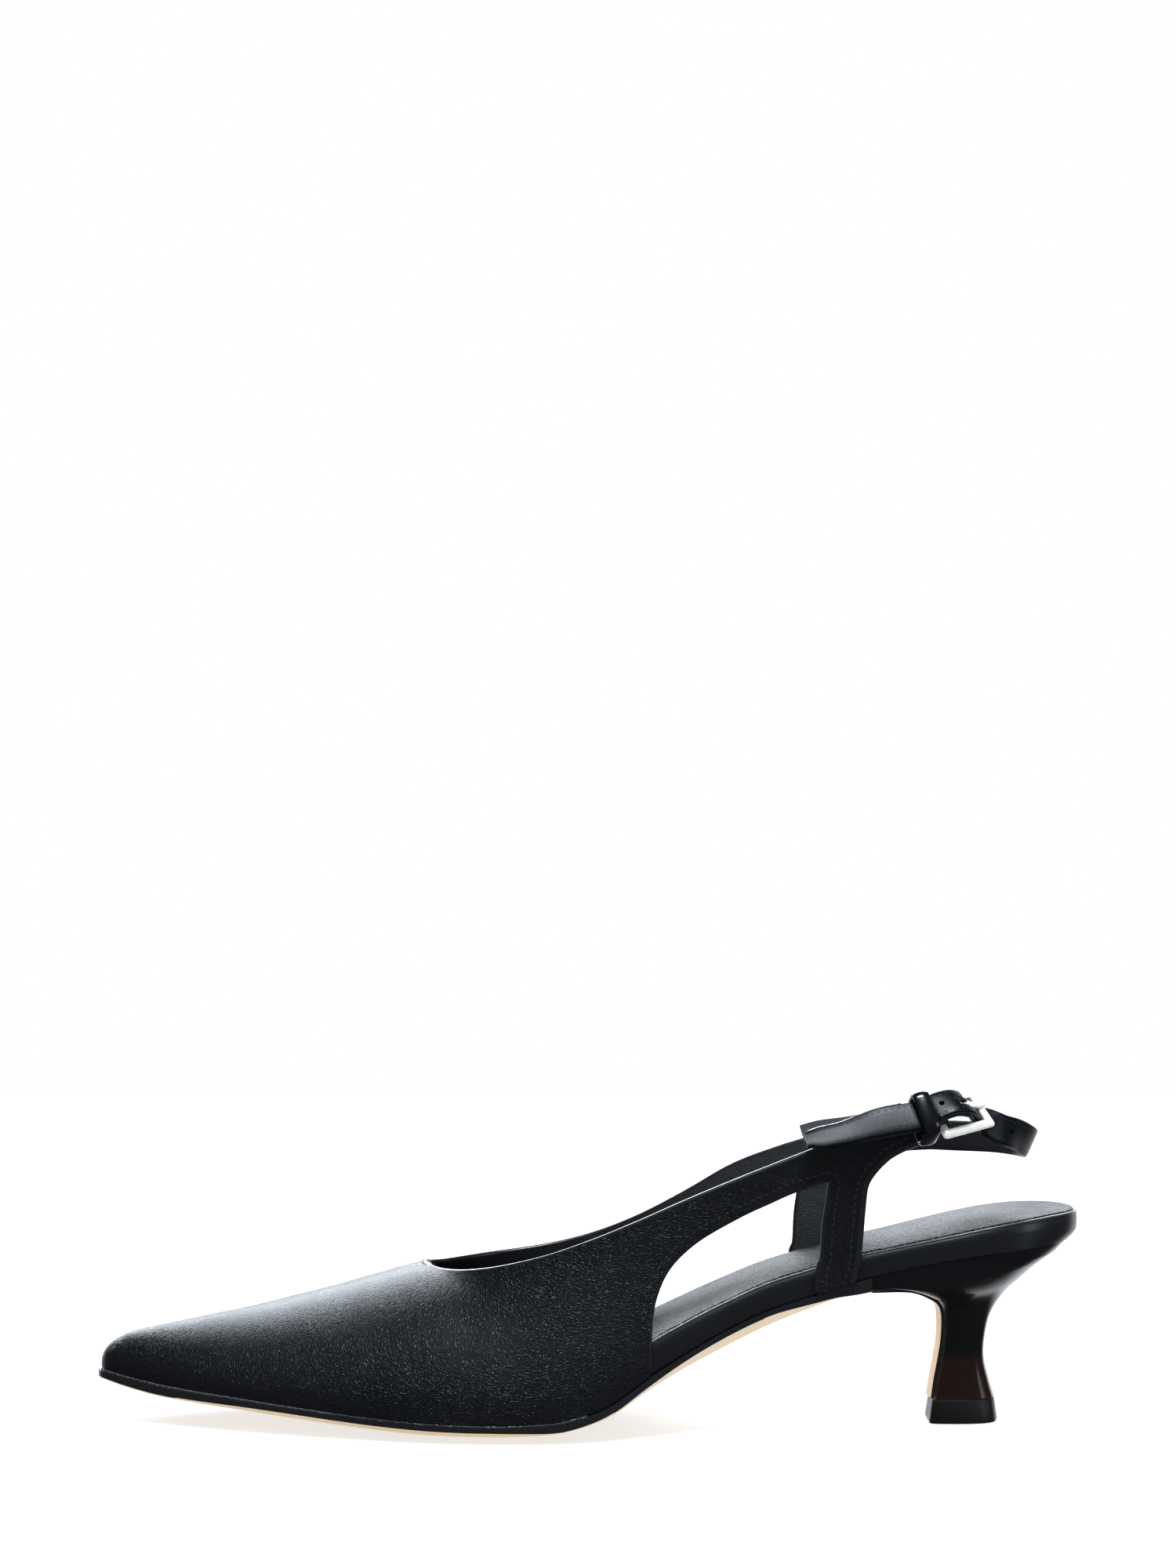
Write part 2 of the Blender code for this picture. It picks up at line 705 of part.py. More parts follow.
def breastRing(place, across=SOLE_ACROSS):
    # Cross-section of the outsole where it covers the heel's breast
    here = smoothRow(BREAST, place)
    last = len(BREAST) - 1
    run = breastPoint(min(place + 0.1, last)) - breastPoint(max(place - 0.1, 0.0))
    away = Vector((run.z, 0.0, -run.x)).normalized()
    back = breastPoint(place) + away * CLEARANCE
    front = rowAtX(alongToX(BREAST[0][0]))
    middle = (edgePoint(OUTER, front) + edgePoint(INNER, front)).y / 2 * easeBetween(COVER_CENTRED, 0.0, place)
    half = here[2] * BALL_WIDTH
    edge = BREAST_COVER * COVER_EDGE
    centre = BREAST_COVER + here[3] * SOLE_CROWN
    ring = []
    for k in range(across + 1):
        share = 2 * k / across - 1
        depth = edge + (centre - edge) * (1 - share * share)
        ring.append(back + away * depth + Vector((0.0, middle + share * half, 0.0)))
    for k in (2, 1, 0):
        ring.append(back + Vector((0.0, middle + (k - 1) * half, 0.0)))
    return ring


def makeOutsole(material, collection):
    front = alongToX(BREAST[0][0])
    rings = [soleRing(row) for row in sectionRows(0.2, 20.0)]
    rings.append(soleRing(rowAtX(front - 2 * CLEARANCE)))
    rings += [breastRing(k / 2) for k in range(2 * len(BREAST) - 1)]
    return addObject("outsole", loft("outsole", rings), material, collection)


def heelRing(front, back, half, seat):
    # Cross-section of the heel, between a breast point and a back point
    rimBack = edgePoint(OUTER, len(LAST) - 1).x
    ring = []
    for side in (OUTER, INNER):
        points = []
        for place, across in smoothOutline(NECK_OUTLINE, 1):
            point = front.lerp(back, place)
            plan = front.x + place * (rimBack - front.x)
            row = rowAtX(plan)
            wide = abs(edgePoint(side, row, rimInset(row) + SEAT_INSET).y)
            spread = min(1.0, across / NECK_OUTLINE[2][1]) if place == 0.0 else 1.0
            y = (1 - seat) * half * across + seat * wide * spread * (1.0 if place < 1.0 else 0.0)
            points.append(Vector((point.x, side * y, point.z)))
        ring.append(points)
    return ring[0] + ring[1][-2:0:-1]


def makeHeel(material, collection):
    seat = edgeLevel(len(LAST) - 1)
    low = LIFT_HEIGHT + CLEARANCE
    rings = []
    top = heelRing(seatFront(), Vector((alongToX(SEAT_BACK), 0.0, seat)), HEEL[0][2] * BALL_WIDTH, 1.0)
    rings.append([Vector((p.x, p.y, edgeLevel(rowAtX(p.x)))) for p in top])
    for k in range(2 * len(HEEL) - 1):
        back = smoothRow(HEEL, k / 2)
        behind = Vector((alongToX(back[0]), 0.0, low + back[1] * (seat - low)))
        rings.append(heelRing(breastPoint(k / 2), behind, back[2] * BALL_WIDTH, back[3]))
    return addObject("heel", loft("heel", rings), material, collection)


def makeLift(material, collection):
    front = breastPoint(len(BREAST) - 1).x - BREAST_COVER / 2
    back = alongToX(HEEL[-1][0])
    half = HEEL[-1][2] * BALL_WIDTH
    rings = []
    for z, flare in ((LIFT_HEIGHT, 0.0), (LIFT_ROUNDING, LIFT_FLARE), (0.0, LIFT_FLARE / 2)):
        ring = []
        for side in (OUTER, INNER):
            points = []
            for place, across in NECK_OUTLINE:
                x = front - flare + place * (back - front + 2 * flare)
                points.append(Vector((x, side * across * (half + flare), z)))
            ring.append(points)
        rings.append(ring[0] + ring[1][-2:0:-1])
    return addObject("top_lift", loft("top_lift", rings), material, collection)


# Buckle, keeper and straps

def leanedAxis(run, lean):
    # Direction across a strap that runs along `run`, upper edge leaned towards the foot
    run = run.normalized()
    up = (Vector((0.0, 0.0, 1.0)) - run * run.z).normalized()
    away = run.cross(up)
    angle = math.radians(lean)
    return up * math.cos(angle) - away * math.sin(angle)


def tailEnd():
    # Middle of the outer quarter's tail at its cut end, on its outer face
    low = sidePoint(OUTER, *TAIL_OUTLINE[-1])
    top = toplineAtX(OUTER, low.x)
    middle = (low.z + top.z) / 2
    points = [wallPoint(OUTER, TAIL_ROW, k / 40) for k in range(41)]
    y = float(np.interp(middle, [p.z for p in points], [p.y for p in points]))
    return Vector((low.x - TAIL_SLANT * (middle - low.z), y, middle))


def frameAxes():
    up = leanedAxis(FRAME_ALONG, FRAME_LEAN)
    return FRAME_ALONG, up, FRAME_ALONG.cross(up)


def framePoint(along, up, out):
    a, u, n = frameAxes()
    middle = tailEnd() + a * (TAIL_TO_BAR + barPlace()) + n * TAIL_TO_FRAME
    return middle + a * along + u * up + n * out


def barPlace():
    return (FRAME_LENGTH - FRAME_BAR) / 2


def frameWidth():
    return STRAP_WIDTH + 2 * FRAME_BAR + 2 * CLEARANCE


def roundedLoop(length, width, radius, steps=3):
    # Points and outward directions round a rectangle with rounded corners
    points = []
    for cornerX, cornerY, start in ((1, 1, 0), (-1, 1, 90), (-1, -1, 180), (1, -1, 270)):
        for k in range(steps + 1):
            angle = math.radians(start + 90 * k / steps)
            out = (math.cos(angle), math.sin(angle))
            x = cornerX * (length / 2 - radius) + out[0] * radius
            y = cornerY * (width / 2 - radius) + out[1] * radius
            points.append(((x, y), out))
    return points


def makeFrame(material, collection):
    a, u, n = frameAxes()
    middle = framePoint(0, 0, 0)
    outside = roundedLoop(FRAME_LENGTH, frameWidth(), FRAME_CORNER)
    opening = (FRAME_LENGTH - 2 * FRAME_BAR, frameWidth() - 2 * FRAME_BAR)
    inside = roundedLoop(*opening, FRAME_INSIDE_CORNER)
    rings = []
    for (far, _), (near, _) in zip(outside, inside):
        wide = Vector((far[0] - near[0], far[1] - near[1]))
        centre = middle + a * (far[0] + near[0]) / 2 + u * (far[1] + near[1]) / 2
        across = (a * wide.x + u * wide.y).normalized()
        rings.append(stripRing(centre, across, n, wide.length, FRAME_THICKNESS))
    return addObject("buckle_frame", loft("buckle_frame", rings, joined=True), material, collection)


def makeProng(material, collection):
    # Loop round the hinge bar, then a straight tongue that rests on the back bar
    a, u, n = frameAxes()
    radius = foldRadius()
    path = []
    for k in range(ARC_STEPS + 1):
        angle = math.radians(PRONG_TURN * (k / ARC_STEPS - 1))
        path.append((-barPlace() + math.sin(angle) * radius, math.cos(angle) * radius))
    rest = FRAME_THICKNESS / 2 + CLEARANCE / 2 + PRONG_THICKNESS / 2
    path += [(place * barPlace(), rest + arch * PRONG_THICKNESS) for place, arch in PRONG_ARCH]
    rings = []
    for k, (along, out) in enumerate(path):
        before, after = path[max(k - 1, 0)], path[min(k + 1, len(path) - 1)]
        run = (a * (after[0] - before[0]) + n * (after[1] - before[1])).normalized()
        wide = PRONG_WIDTH * (PRONG_TIP if k == len(path) - 1 else 1.0)
        rings.append(stripRing(framePoint(along, 0, out), u, run.cross(u), wide, PRONG_THICKNESS))
    return addObject("buckle_prong", loft("buckle_prong", rings), material, collection)


def foldRadius():
    # Middle of what folds round the hinge bar
    return FRAME_BAR / 2 + FOLD_GAP + PRONG_THICKNESS / 2


def makeBillet(material, collection, cutters):
    # Short strap that holds the buckle: from the outside of the quarter's tail, under the
    # keeper and round the hinge bar
    a, u, n = frameAxes()
    radius = foldRadius()
    stations = [(framePoint(place * barPlace(), 0, out * BILLET_PLY), lean, a) for place, out, lean in BILLET_OUTSIDE]
    for k in range(ARC_STEPS + 1):
        angle = math.radians(180 * k / ARC_STEPS)
        centre = framePoint(-barPlace() + math.sin(angle) * radius, 0, math.cos(angle) * radius)
        stations.append((centre, FRAME_LEAN, a * math.cos(angle) - n * math.sin(angle)))
    stations += [(framePoint(place * barPlace(), 0, out * BILLET_PLY), lean, -a) for place, out, lean in BILLET_INSIDE]
    rings = []
    for centre, lean, run in stations:
        axis = leanedAxis(FRAME_ALONG, lean)
        across = (axis - run * axis.dot(run)).normalized()
        rings.append(stripRing(centre, across, run.cross(across), BILLET_WIDTH, BILLET_PLY))
    billet = addObject("buckle_strap", loft("buckle_strap", rings), material, collection)
    slot = slotCutter("billet_slot", -barPlace() - radius - PRONG_SLOT, 3 * radius, radius * 3, cutters)
    cut = billet.modifiers.new("slot", "BOOLEAN")
    cut.object = slot
    cut.operation = "DIFFERENCE"
    return billet


def slotCutter(name, start, length, deep, collection):
    # Box through a strap where the prong passes
    half = PRONG_WIDTH / 2 + PRONG_SLOT
    rings = []
    for along in (start, start + length):
        rings.append([framePoint(along, s * half, t * deep) for s, t in ((-1, -1), (1, -1), (1, 1), (-1, 1))])
    cutter = bpy.data.objects.new(name, loft(name, rings))
    cutter.hide_render = True
    cutter.display_type = "WIRE"
    collection.objects.link(cutter)
    return cutter


def slingRows():
    # Middle of the sling strap and its lean, from the free end to the inner quarter
    rows = []
    for along, height, out, lean in FREE_END:
        base = toplineAtX(OUTER, alongToX(along))
        rows.append((*(base + Vector((0.0, -out * STRAP_WIDTH, height * STRAP_WIDTH))), lean))
    for place, out, up, lean in AT_BUCKLE:
        rows.append((*framePoint(place * barPlace(), up * STRAP_WIDTH, out * STRAP_WIDTH), lean))
    seat = edgeLevel(len(LAST) - 1)
    rise = toplineAtX(OUTER, alongToX(OUTER_TOPLINE[-1][0])).z - seat
    for along, aside, height, lean in ROUND_HEEL:
        rows.append((alongToX(along), aside * BALL_WIDTH, seat + height * rise, lean))
    inside = UPPER_WALL + CLEARANCE + (STRAP_PLY + LINING_PLY + CLEARANCE) / 2
    for along, aside, depth, lean in IN_QUARTER:
        base = toplineAtX(INNER, alongToX(along) + INNER_CUT_SHIFT) - Vector((0.0, aside * STRAP_WIDTH, 0.0))
        rows.append((base.x, base.y - inside, base.z - depth * STRAP_WIDTH, lean))
    return np.array(rows)


def slingRings(ply, offset, parting, lift, taper):
    rows = slingRows()
    count = (len(rows) - 1) * STRAP_STEPS
    path = [smoothRow(rows, k / STRAP_STEPS) for k in range(count + 1)]
    rings = []
    for k, here in enumerate(path):
        before, after = path[max(k - 1, 0)], path[min(k + 1, count)]
        run = Vector(after[:3] - before[:3]).normalized()
        axis = leanedAxis(run, here[3])
        out = run.cross(axis)
        parted = easeBetween(PARTED_ROWS * STRAP_STEPS, 0, k)
        centre = Vector(here[:3]) + out * (offset - parting * parted) + axis * lift * parted
        width = STRAP_WIDTH * (1.0 - taper * easeBetween(STRAP_STEPS - 1, 0, k))
        rings.append(stripRing(centre, axis, out, width, ply))
    return rings


def makeSling(material, lining, collection, cutters):
    total = STRAP_PLY + CLEARANCE + LINING_PLY
    outward = (total - STRAP_PLY) / 2
    inward = -(total - LINING_PLY) / 2
    rings = slingRings(STRAP_PLY, outward, 0.0, 0.0, PLY_TAPER)
    strap = addObject("sling_strap", loft("sling_strap", rings), material, collection)
    rings = slingRings(LINING_PLY, inward, TIP_PARTING, TIP_LIFT, LINING_TAPER)
    backing = addObject("sling_lining", loft("sling_lining", rings), lining, collection)
    start, end = HOLE_REACH
    slot = slotCutter("strap_slot", start * barPlace(), (end - start) * barPlace(), STRAP_WIDTH, cutters)
    for item in (strap, backing):
        cut = item.modifiers.new("slot", "BOOLEAN")
        cut.object = slot
        cut.operation = "DIFFERENCE"
    return strap, backing


def makeKeeper(material, collection):
    # Loop round the billet and the strap, beside the hinge bar
    up = leanedAxis(KEEPER_ALONG, KEEPER_LEAN)
    out = KEEPER_ALONG.cross(up)
    along = -barPlace() - FRAME_BAR / 2 - 2 * CLEARANCE - KEEPER_WIDTH / 2
    centre = framePoint(along, KEEPER_RISE, KEEPER_OUT)
    rings = []
    for (x, y), way in roundedLoop(KEEPER_WIDE + KEEPER_PLY, KEEPER_DEEP + KEEPER_PLY, KEEPER_RADIUS):
        place = centre + up * x + out * y
        across = up * way[0] + out * way[1]
        rings.append(stripRing(place, KEEPER_ALONG, across, KEEPER_WIDTH, KEEPER_PLY))
    return addObject("keeper", loft("keeper", rings, joined=True), material, collection)


def standAtOrigin(items):
    # Everything hangs on one empty, moved so that the shoe stands centred on the floor
    holder = bpy.data.objects.new("slingback_origin", None)
    bpy.context.scene.collection.objects.link(holder)
    for item in bpy.data.objects:
        if item is not holder:
            item.parent = holder
    bpy.context.view_layer.update()
    graph = bpy.context.evaluated_depsgraph_get()
    points = [Vector(corner) for item in items for corner in item.evaluated_get(graph).bound_box]
    low = [min(p[k] for p in points) for k in range(3)]
    high = [max(p[k] for p in points) for k in range(3)]
    holder.location = (-(low[0] + high[0]) / 2, -(low[1] + high[1]) / 2, -low[2])
    bpy.context.view_layer.update()


def main():
    clearScene()
    parts = bpy.data.collections.new("slingback_pump")
    helpers = bpy.data.collections.new("cutters")
    helpers.hide_render = True
    for collection in (parts, helpers):
        bpy.context.scene.collection.children.link(collection)
    black = makeMaterial("black_leather", (0.012, 0.013, 0.016), 0.42)
    grey = makeMaterial("sock_leather", (0.030, 0.032, 0.036), 0.38)
    cover = makeMaterial("rim_leather", (0.014, 0.014, 0.017), 0.40)
    sole = makeMaterial("sole_leather", (0.80, 0.63, 0.42), 0.50)
    gloss = makeMaterial("heel_lacquer", (0.010, 0.010, 0.012), 0.15)
    rubber = makeMaterial("lift_rubber", (0.015, 0.015, 0.015), 0.55)
    textile = makeMaterial("strap_lining", (0.020, 0.020, 0.024), 0.60)
    metal = makeMaterial("buckle_metal", (0.86, 0.84, 0.78), 0.18, 1.0)
    items = [
        makeOutsole(sole, parts),
        makeInsole(cover, parts),
        makeSock(grey, parts),
        makeUpper(black, parts, makeCutters(helpers)),
        makeHeel(gloss, parts),
        makeLift(rubber, parts),
        makeBillet(black, parts, helpers),
        *makeSling(black, textile, parts, helpers),
        makeKeeper(black, parts),
        makeFrame(metal, parts),
        makeProng(metal, parts),
    ]
    standAtOrigin(items)


main()
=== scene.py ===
import math

import bmesh
import bpy
import numpy as np
from mathutils import Matrix, Vector
from mathutils.bvhtree import BVHTree


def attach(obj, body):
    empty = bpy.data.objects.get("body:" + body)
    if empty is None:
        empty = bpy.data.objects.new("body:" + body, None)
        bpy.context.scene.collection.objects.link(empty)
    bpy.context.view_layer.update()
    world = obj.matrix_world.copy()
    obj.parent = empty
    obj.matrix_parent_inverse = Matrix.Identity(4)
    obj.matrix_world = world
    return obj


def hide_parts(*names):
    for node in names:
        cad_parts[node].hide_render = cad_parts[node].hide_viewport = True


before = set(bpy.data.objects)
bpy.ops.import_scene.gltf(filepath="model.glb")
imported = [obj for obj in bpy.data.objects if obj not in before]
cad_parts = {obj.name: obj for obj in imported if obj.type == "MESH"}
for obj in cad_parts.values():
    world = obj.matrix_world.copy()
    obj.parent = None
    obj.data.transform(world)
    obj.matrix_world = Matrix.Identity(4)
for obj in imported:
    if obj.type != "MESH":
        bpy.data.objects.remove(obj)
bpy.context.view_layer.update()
outer, inner = -1, 1  # sides of the foot: the sign of Y there
clearance = 0.0003
standShift = Vector((0.00051, 0.00017, 0.0))  # from the last's own middle to the middle of the shoe
materials = {}  # by the name of their look


# Nodes

def newNodes(tree, *kinds):
    return [tree.nodes.new("ShaderNode" + kind) for kind in kinds]


def setInputs(node, values):
    for name, value in values.items():
        node.inputs[name].default_value = value


def setRange(node, given, made=(0.0, 1.0)):
    setInputs(node, {"From Min": given[0], "From Max": given[1], "To Min": made[0], "To Max": made[1]})


def link(tree, *wires):
    # Each wire: a node, its output, the next node, its input
    for source, output, target, entry in wires:
        tree.links.new(source.outputs[output], target.inputs[entry])


def startMaterial(name):
    material = bpy.data.materials.new(name)
    material.use_nodes = True
    return material, material.node_tree, material.node_tree.nodes["Principled BSDF"]


# Camera, floor and light

studio = {
    "lens": 82.76,
    "sensor": 36.0,
    "camera": (0.0005, -0.9498, 0.1675),
    "background": 1.0,
    "fill": 0.60,  # plain light from all round, which only matt surfaces take
    "glow": (0.04, 1.3),  # what gloss shows of the room in front of the shoe and of the white wall behind it
    "glowTurn": (0.45, 0.85),  # how far back the one turns into the other
    "glowColour": (0.93, 0.97, 1.0, 1.0),
    "lightColour": (0.84, 0.92, 1.0),
}
paper = {
    "size": 2.0, "colour": (0.36, 0.36, 0.37, 1.0), "roughness": 0.9, "specular": 0.1,
    "emission": 0.64,  # the paper is lit from below too
}
# Columns: place, aim, size, power
lights = {
    "topLight": ((0.10, -0.36, 0.90), (0.0, 0.0, 0.04), (0.40, 0.20), 9.0),
    "backLight": ((-0.12, 0.80, 0.50), (-0.04, 0.0, 0.03), (1.10, 0.26), 13.0),
    "heelLight": ((0.95, -0.55, 0.35), (0.10, 0.0, 0.04), (0.30, 0.70), 1.3),
    "floorLight": ((0.0, -0.2, 2.2), (0.0, 0.0, 0.0), (3.2, 3.2), 20.0),
}
white = (1.0, 1.0, 1.0, 1.0)


def makeCamera(scene):
    camera = bpy.data.objects.new("camera", bpy.data.cameras.new("camera"))
    camera.data.lens = studio["lens"]
    camera.data.sensor_width = studio["sensor"]
    camera.location = studio["camera"]
    camera.rotation_euler = (math.radians(90.0), 0.0, 0.0)
    scene.collection.objects.link(camera)
    scene.camera = camera
    scene.view_settings.view_transform = "Standard"


def makeFloor(scene):
    bm = bmesh.new()
    bmesh.ops.create_grid(bm, x_segments=4, y_segments=4, size=paper["size"] / 2)
    mesh = bpy.data.meshes.new("floor")
    bm.to_mesh(mesh)
    bm.free()
    floor = bpy.data.objects.new("floor", mesh)
    scene.collection.objects.link(floor)
    material, _, shader = startMaterial("floorPaper")
    setInputs(shader, {
        "Base Color": paper["colour"], "Roughness": paper["roughness"], "Specular IOR Level": paper["specular"],
        "Emission Color": white, "Emission Strength": paper["emission"],
    })
    mesh.materials.append(material)
    floor.visible_glossy = False


def makeWorld(scene):
    world = bpy.data.worlds.new("studioWorld")
    scene.world = world
    world.use_nodes = True
    tree = world.node_tree
    tree.nodes.clear()
    path, place, split, behind, shown = newNodes(tree, "LightPath", "TexCoord", "SeparateXYZ", "MapRange", "Mix")
    glow, seen, mix, out = newNodes(tree, "Background", "Background", "MixShader", "OutputWorld")
    behind.interpolation_type = "SMOOTHSTEP"
    setRange(behind, studio["glowTurn"], studio["glow"])
    setInputs(shown, {"A": studio["fill"]})
    setInputs(glow, {"Color": studio["glowColour"]})
    setInputs(seen, {"Color": white, "Strength": studio["background"]})
    link(
        tree, (place, "Generated", split, 0), (split, "Y", behind, "Value"), (behind, "Result", shown, "B"),
        (path, "Is Glossy Ray", shown, "Factor"), (shown, "Result", glow, "Strength"),
        (path, "Is Camera Ray", mix, 0), (glow, 0, mix, 1), (seen, 0, mix, 2), (mix, 0, out, "Surface"),
    )


def makeLights(scene):
    for name, (place, aim, size, power) in lights.items():
        data = bpy.data.lights.new(name, "AREA")
        data.shape = "RECTANGLE"
        data.size, data.size_y = size
        data.energy = power
        light = bpy.data.objects.new(name, data)
        light.location = place
        light.rotation_euler = (Vector(aim) - light.location).to_track_quat("-Z", "Y").to_euler()
        if name == "floorLight":
            light.visible_glossy = False
        else:
            data.color = studio["lightColour"]
        scene.collection.objects.link(light)


# Shared effects

grainLook = {
    "warpScale": 900.0, "warpDetail": 2.0, "warpReach": 0.0005, "creaseWidth": 0.2, "wrinkleDetail": 4.0,
    "wrinkleDistortion": 0.6, "slowScale": 28.0, "slowDetail": 3.0, "slowRange": (0.3, 0.7),
}
scuffLook = {"scale": 1.0, "detail": 3.0, "range": (0.35, 0.75), "coatRoughness": 0.05}


def newGroup(name, inputs, outputs):
    group = bpy.data.node_groups.new(name, "ShaderNodeTree")
    for label, value in inputs.items():
        group.interface.new_socket(label, in_out="INPUT", socket_type="NodeSocketFloat").default_value = value
    for label in outputs:
        group.interface.new_socket(label, in_out="OUTPUT", socket_type="NodeSocketFloat")
    return group, group.nodes.new("NodeGroupInput"), group.nodes.new("NodeGroupOutput")


def makeGrainGroup():
    # Pebbled leather: cells with soft creases between them, over slow wrinkles
    group, given, out = newGroup(
        "leatherGrain", {"Cell Scale": 1500.0, "Wrinkle Scale": 90.0, "Wrinkle Share": 0.4}, ("Height", "Variation")
    )
    place, warp, bent, cells = newNodes(group, "TexCoord", "TexNoise", "VectorMath", "TexVoronoi")
    domes, wrinkles, mix, slow = newNodes(group, "MapRange", "TexNoise", "Mix", "TexNoise")
    bent.operation = "MULTIPLY_ADD"
    cells.feature = "DISTANCE_TO_EDGE"
    domes.interpolation_type = "SMOOTHSTEP"
    setInputs(warp, {"Scale": grainLook["warpScale"], "Detail": grainLook["warpDetail"]})
    setInputs(bent, {1: (grainLook["warpReach"],) * 3})
    setRange(domes, (0.0, grainLook["creaseWidth"]))
    setInputs(wrinkles, {"Detail": grainLook["wrinkleDetail"], "Distortion": grainLook["wrinkleDistortion"]})
    setInputs(slow, {"Scale": grainLook["slowScale"], "Detail": grainLook["slowDetail"]})
    link(
        group, (place, "Object", warp, "Vector"), (warp, "Color", bent, 0), (place, "Object", bent, 2),
        (bent, "Vector", cells, "Vector"), (given, "Cell Scale", cells, "Scale"), (cells, "Distance", domes, "Value"),
        (place, "Object", wrinkles, "Vector"), (given, "Wrinkle Scale", wrinkles, "Scale"),
        (given, "Wrinkle Share", mix, "Factor"), (domes, "Result", mix, "A"), (wrinkles, "Fac", mix, "B"),
        (place, "Object", slow, "Vector"), (mix, "Result", out, "Height"), (slow, "Fac", out, "Variation"),
    )
    return group


def makeScuffGroup():
    # Fine scratches that run along the shoe
    group, given, out = newGroup("fineScuffs", {"Length": 60.0, "Fineness": 1400.0}, ("Scuffs",))
    place, split, join, noise = newNodes(group, "TexCoord", "SeparateXYZ", "CombineXYZ", "TexNoise")
    setInputs(noise, {"Scale": scuffLook["scale"], "Detail": scuffLook["detail"]})
    link(group, (place, "Object", split, 0), (join, 0, noise, "Vector"), (noise, "Fac", out, "Scuffs"))
    for axis, scale in (("X", "Length"), ("Y", "Fineness"), ("Z", "Fineness")):
        stretch = newNodes(group, "Math")[0]
        stretch.operation = "MULTIPLY"
        link(group, (split, axis, stretch, 0), (given, scale, stretch, 1), (stretch, 0, join, axis))
    return group


def leatherMaterial(name, grainGroup):
    dark, light, roughness, cells, wrinkles, share, strength, depth, specular, coat, coatRoughness = leatherLooks[name]
    material, tree, shader = startMaterial(name)
    grain, bump, colour, gloss = newNodes(tree, "Group", "Bump", "Mix", "MapRange")
    grain.node_tree = grainGroup
    colour.data_type = "RGBA"
    setInputs(grain, {"Cell Scale": cells, "Wrinkle Scale": wrinkles, "Wrinkle Share": share})
    setInputs(bump, {"Strength": strength, "Distance": depth})
    setInputs(colour, {"A": (*dark, 1.0), "B": (*light, 1.0)})
    setRange(gloss, grainLook["slowRange"], roughness)
    setInputs(shader, {"Specular IOR Level": specular, "Coat Weight": coat, "Coat Roughness": coatRoughness})
    link(
        tree, (grain, "Height", bump, "Height"), (bump, "Normal", shader, "Normal"),
        (grain, "Variation", colour, "Factor"), (colour, "Result", shader, "Base Color"),
        (grain, "Variation", gloss, "Value"), (gloss, "Result", shader, "Roughness"),
    )
    return material


def glossMaterial(name, scuffGroup):
    low, high, fadeLevels, roughness, length, fineness, metallic, specular, coat = glossLooks[name]
    material, tree, shader = startMaterial(name)
    scuffs, rough, place = newNodes(tree, "Group", "MapRange", "TexCoord")
    split, level, colour = newNodes(tree, "SeparateXYZ", "MapRange", "Mix")
    scuffs.node_tree = scuffGroup
    colour.data_type = "RGBA"
    setInputs(scuffs, {"Length": length, "Fineness": fineness})
    setRange(rough, scuffLook["range"], roughness)
    # Colour changes with height: low on the heel it is a painted reflection of what lies below it; on the buckle it is
    # only a shade darker towards the bottom
    setRange(level, fadeLevels)
    setInputs(colour, {"A": (*low, 1.0), "B": (*high, 1.0)})
    setInputs(shader, {
        "Metallic": metallic, "Specular IOR Level": specular, "Coat Weight": coat,
        "Coat Roughness": scuffLook["coatRoughness"],
    })
    link(
        tree, (scuffs, "Scuffs", rough, "Value"), (rough, "Result", shader, "Roughness"),
        (place, "Object", split, 0), (split, "Z", level, "Value"),
        (level, "Result", colour, "Factor"), (colour, "Result", shader, "Base Color"),
    )
    return material


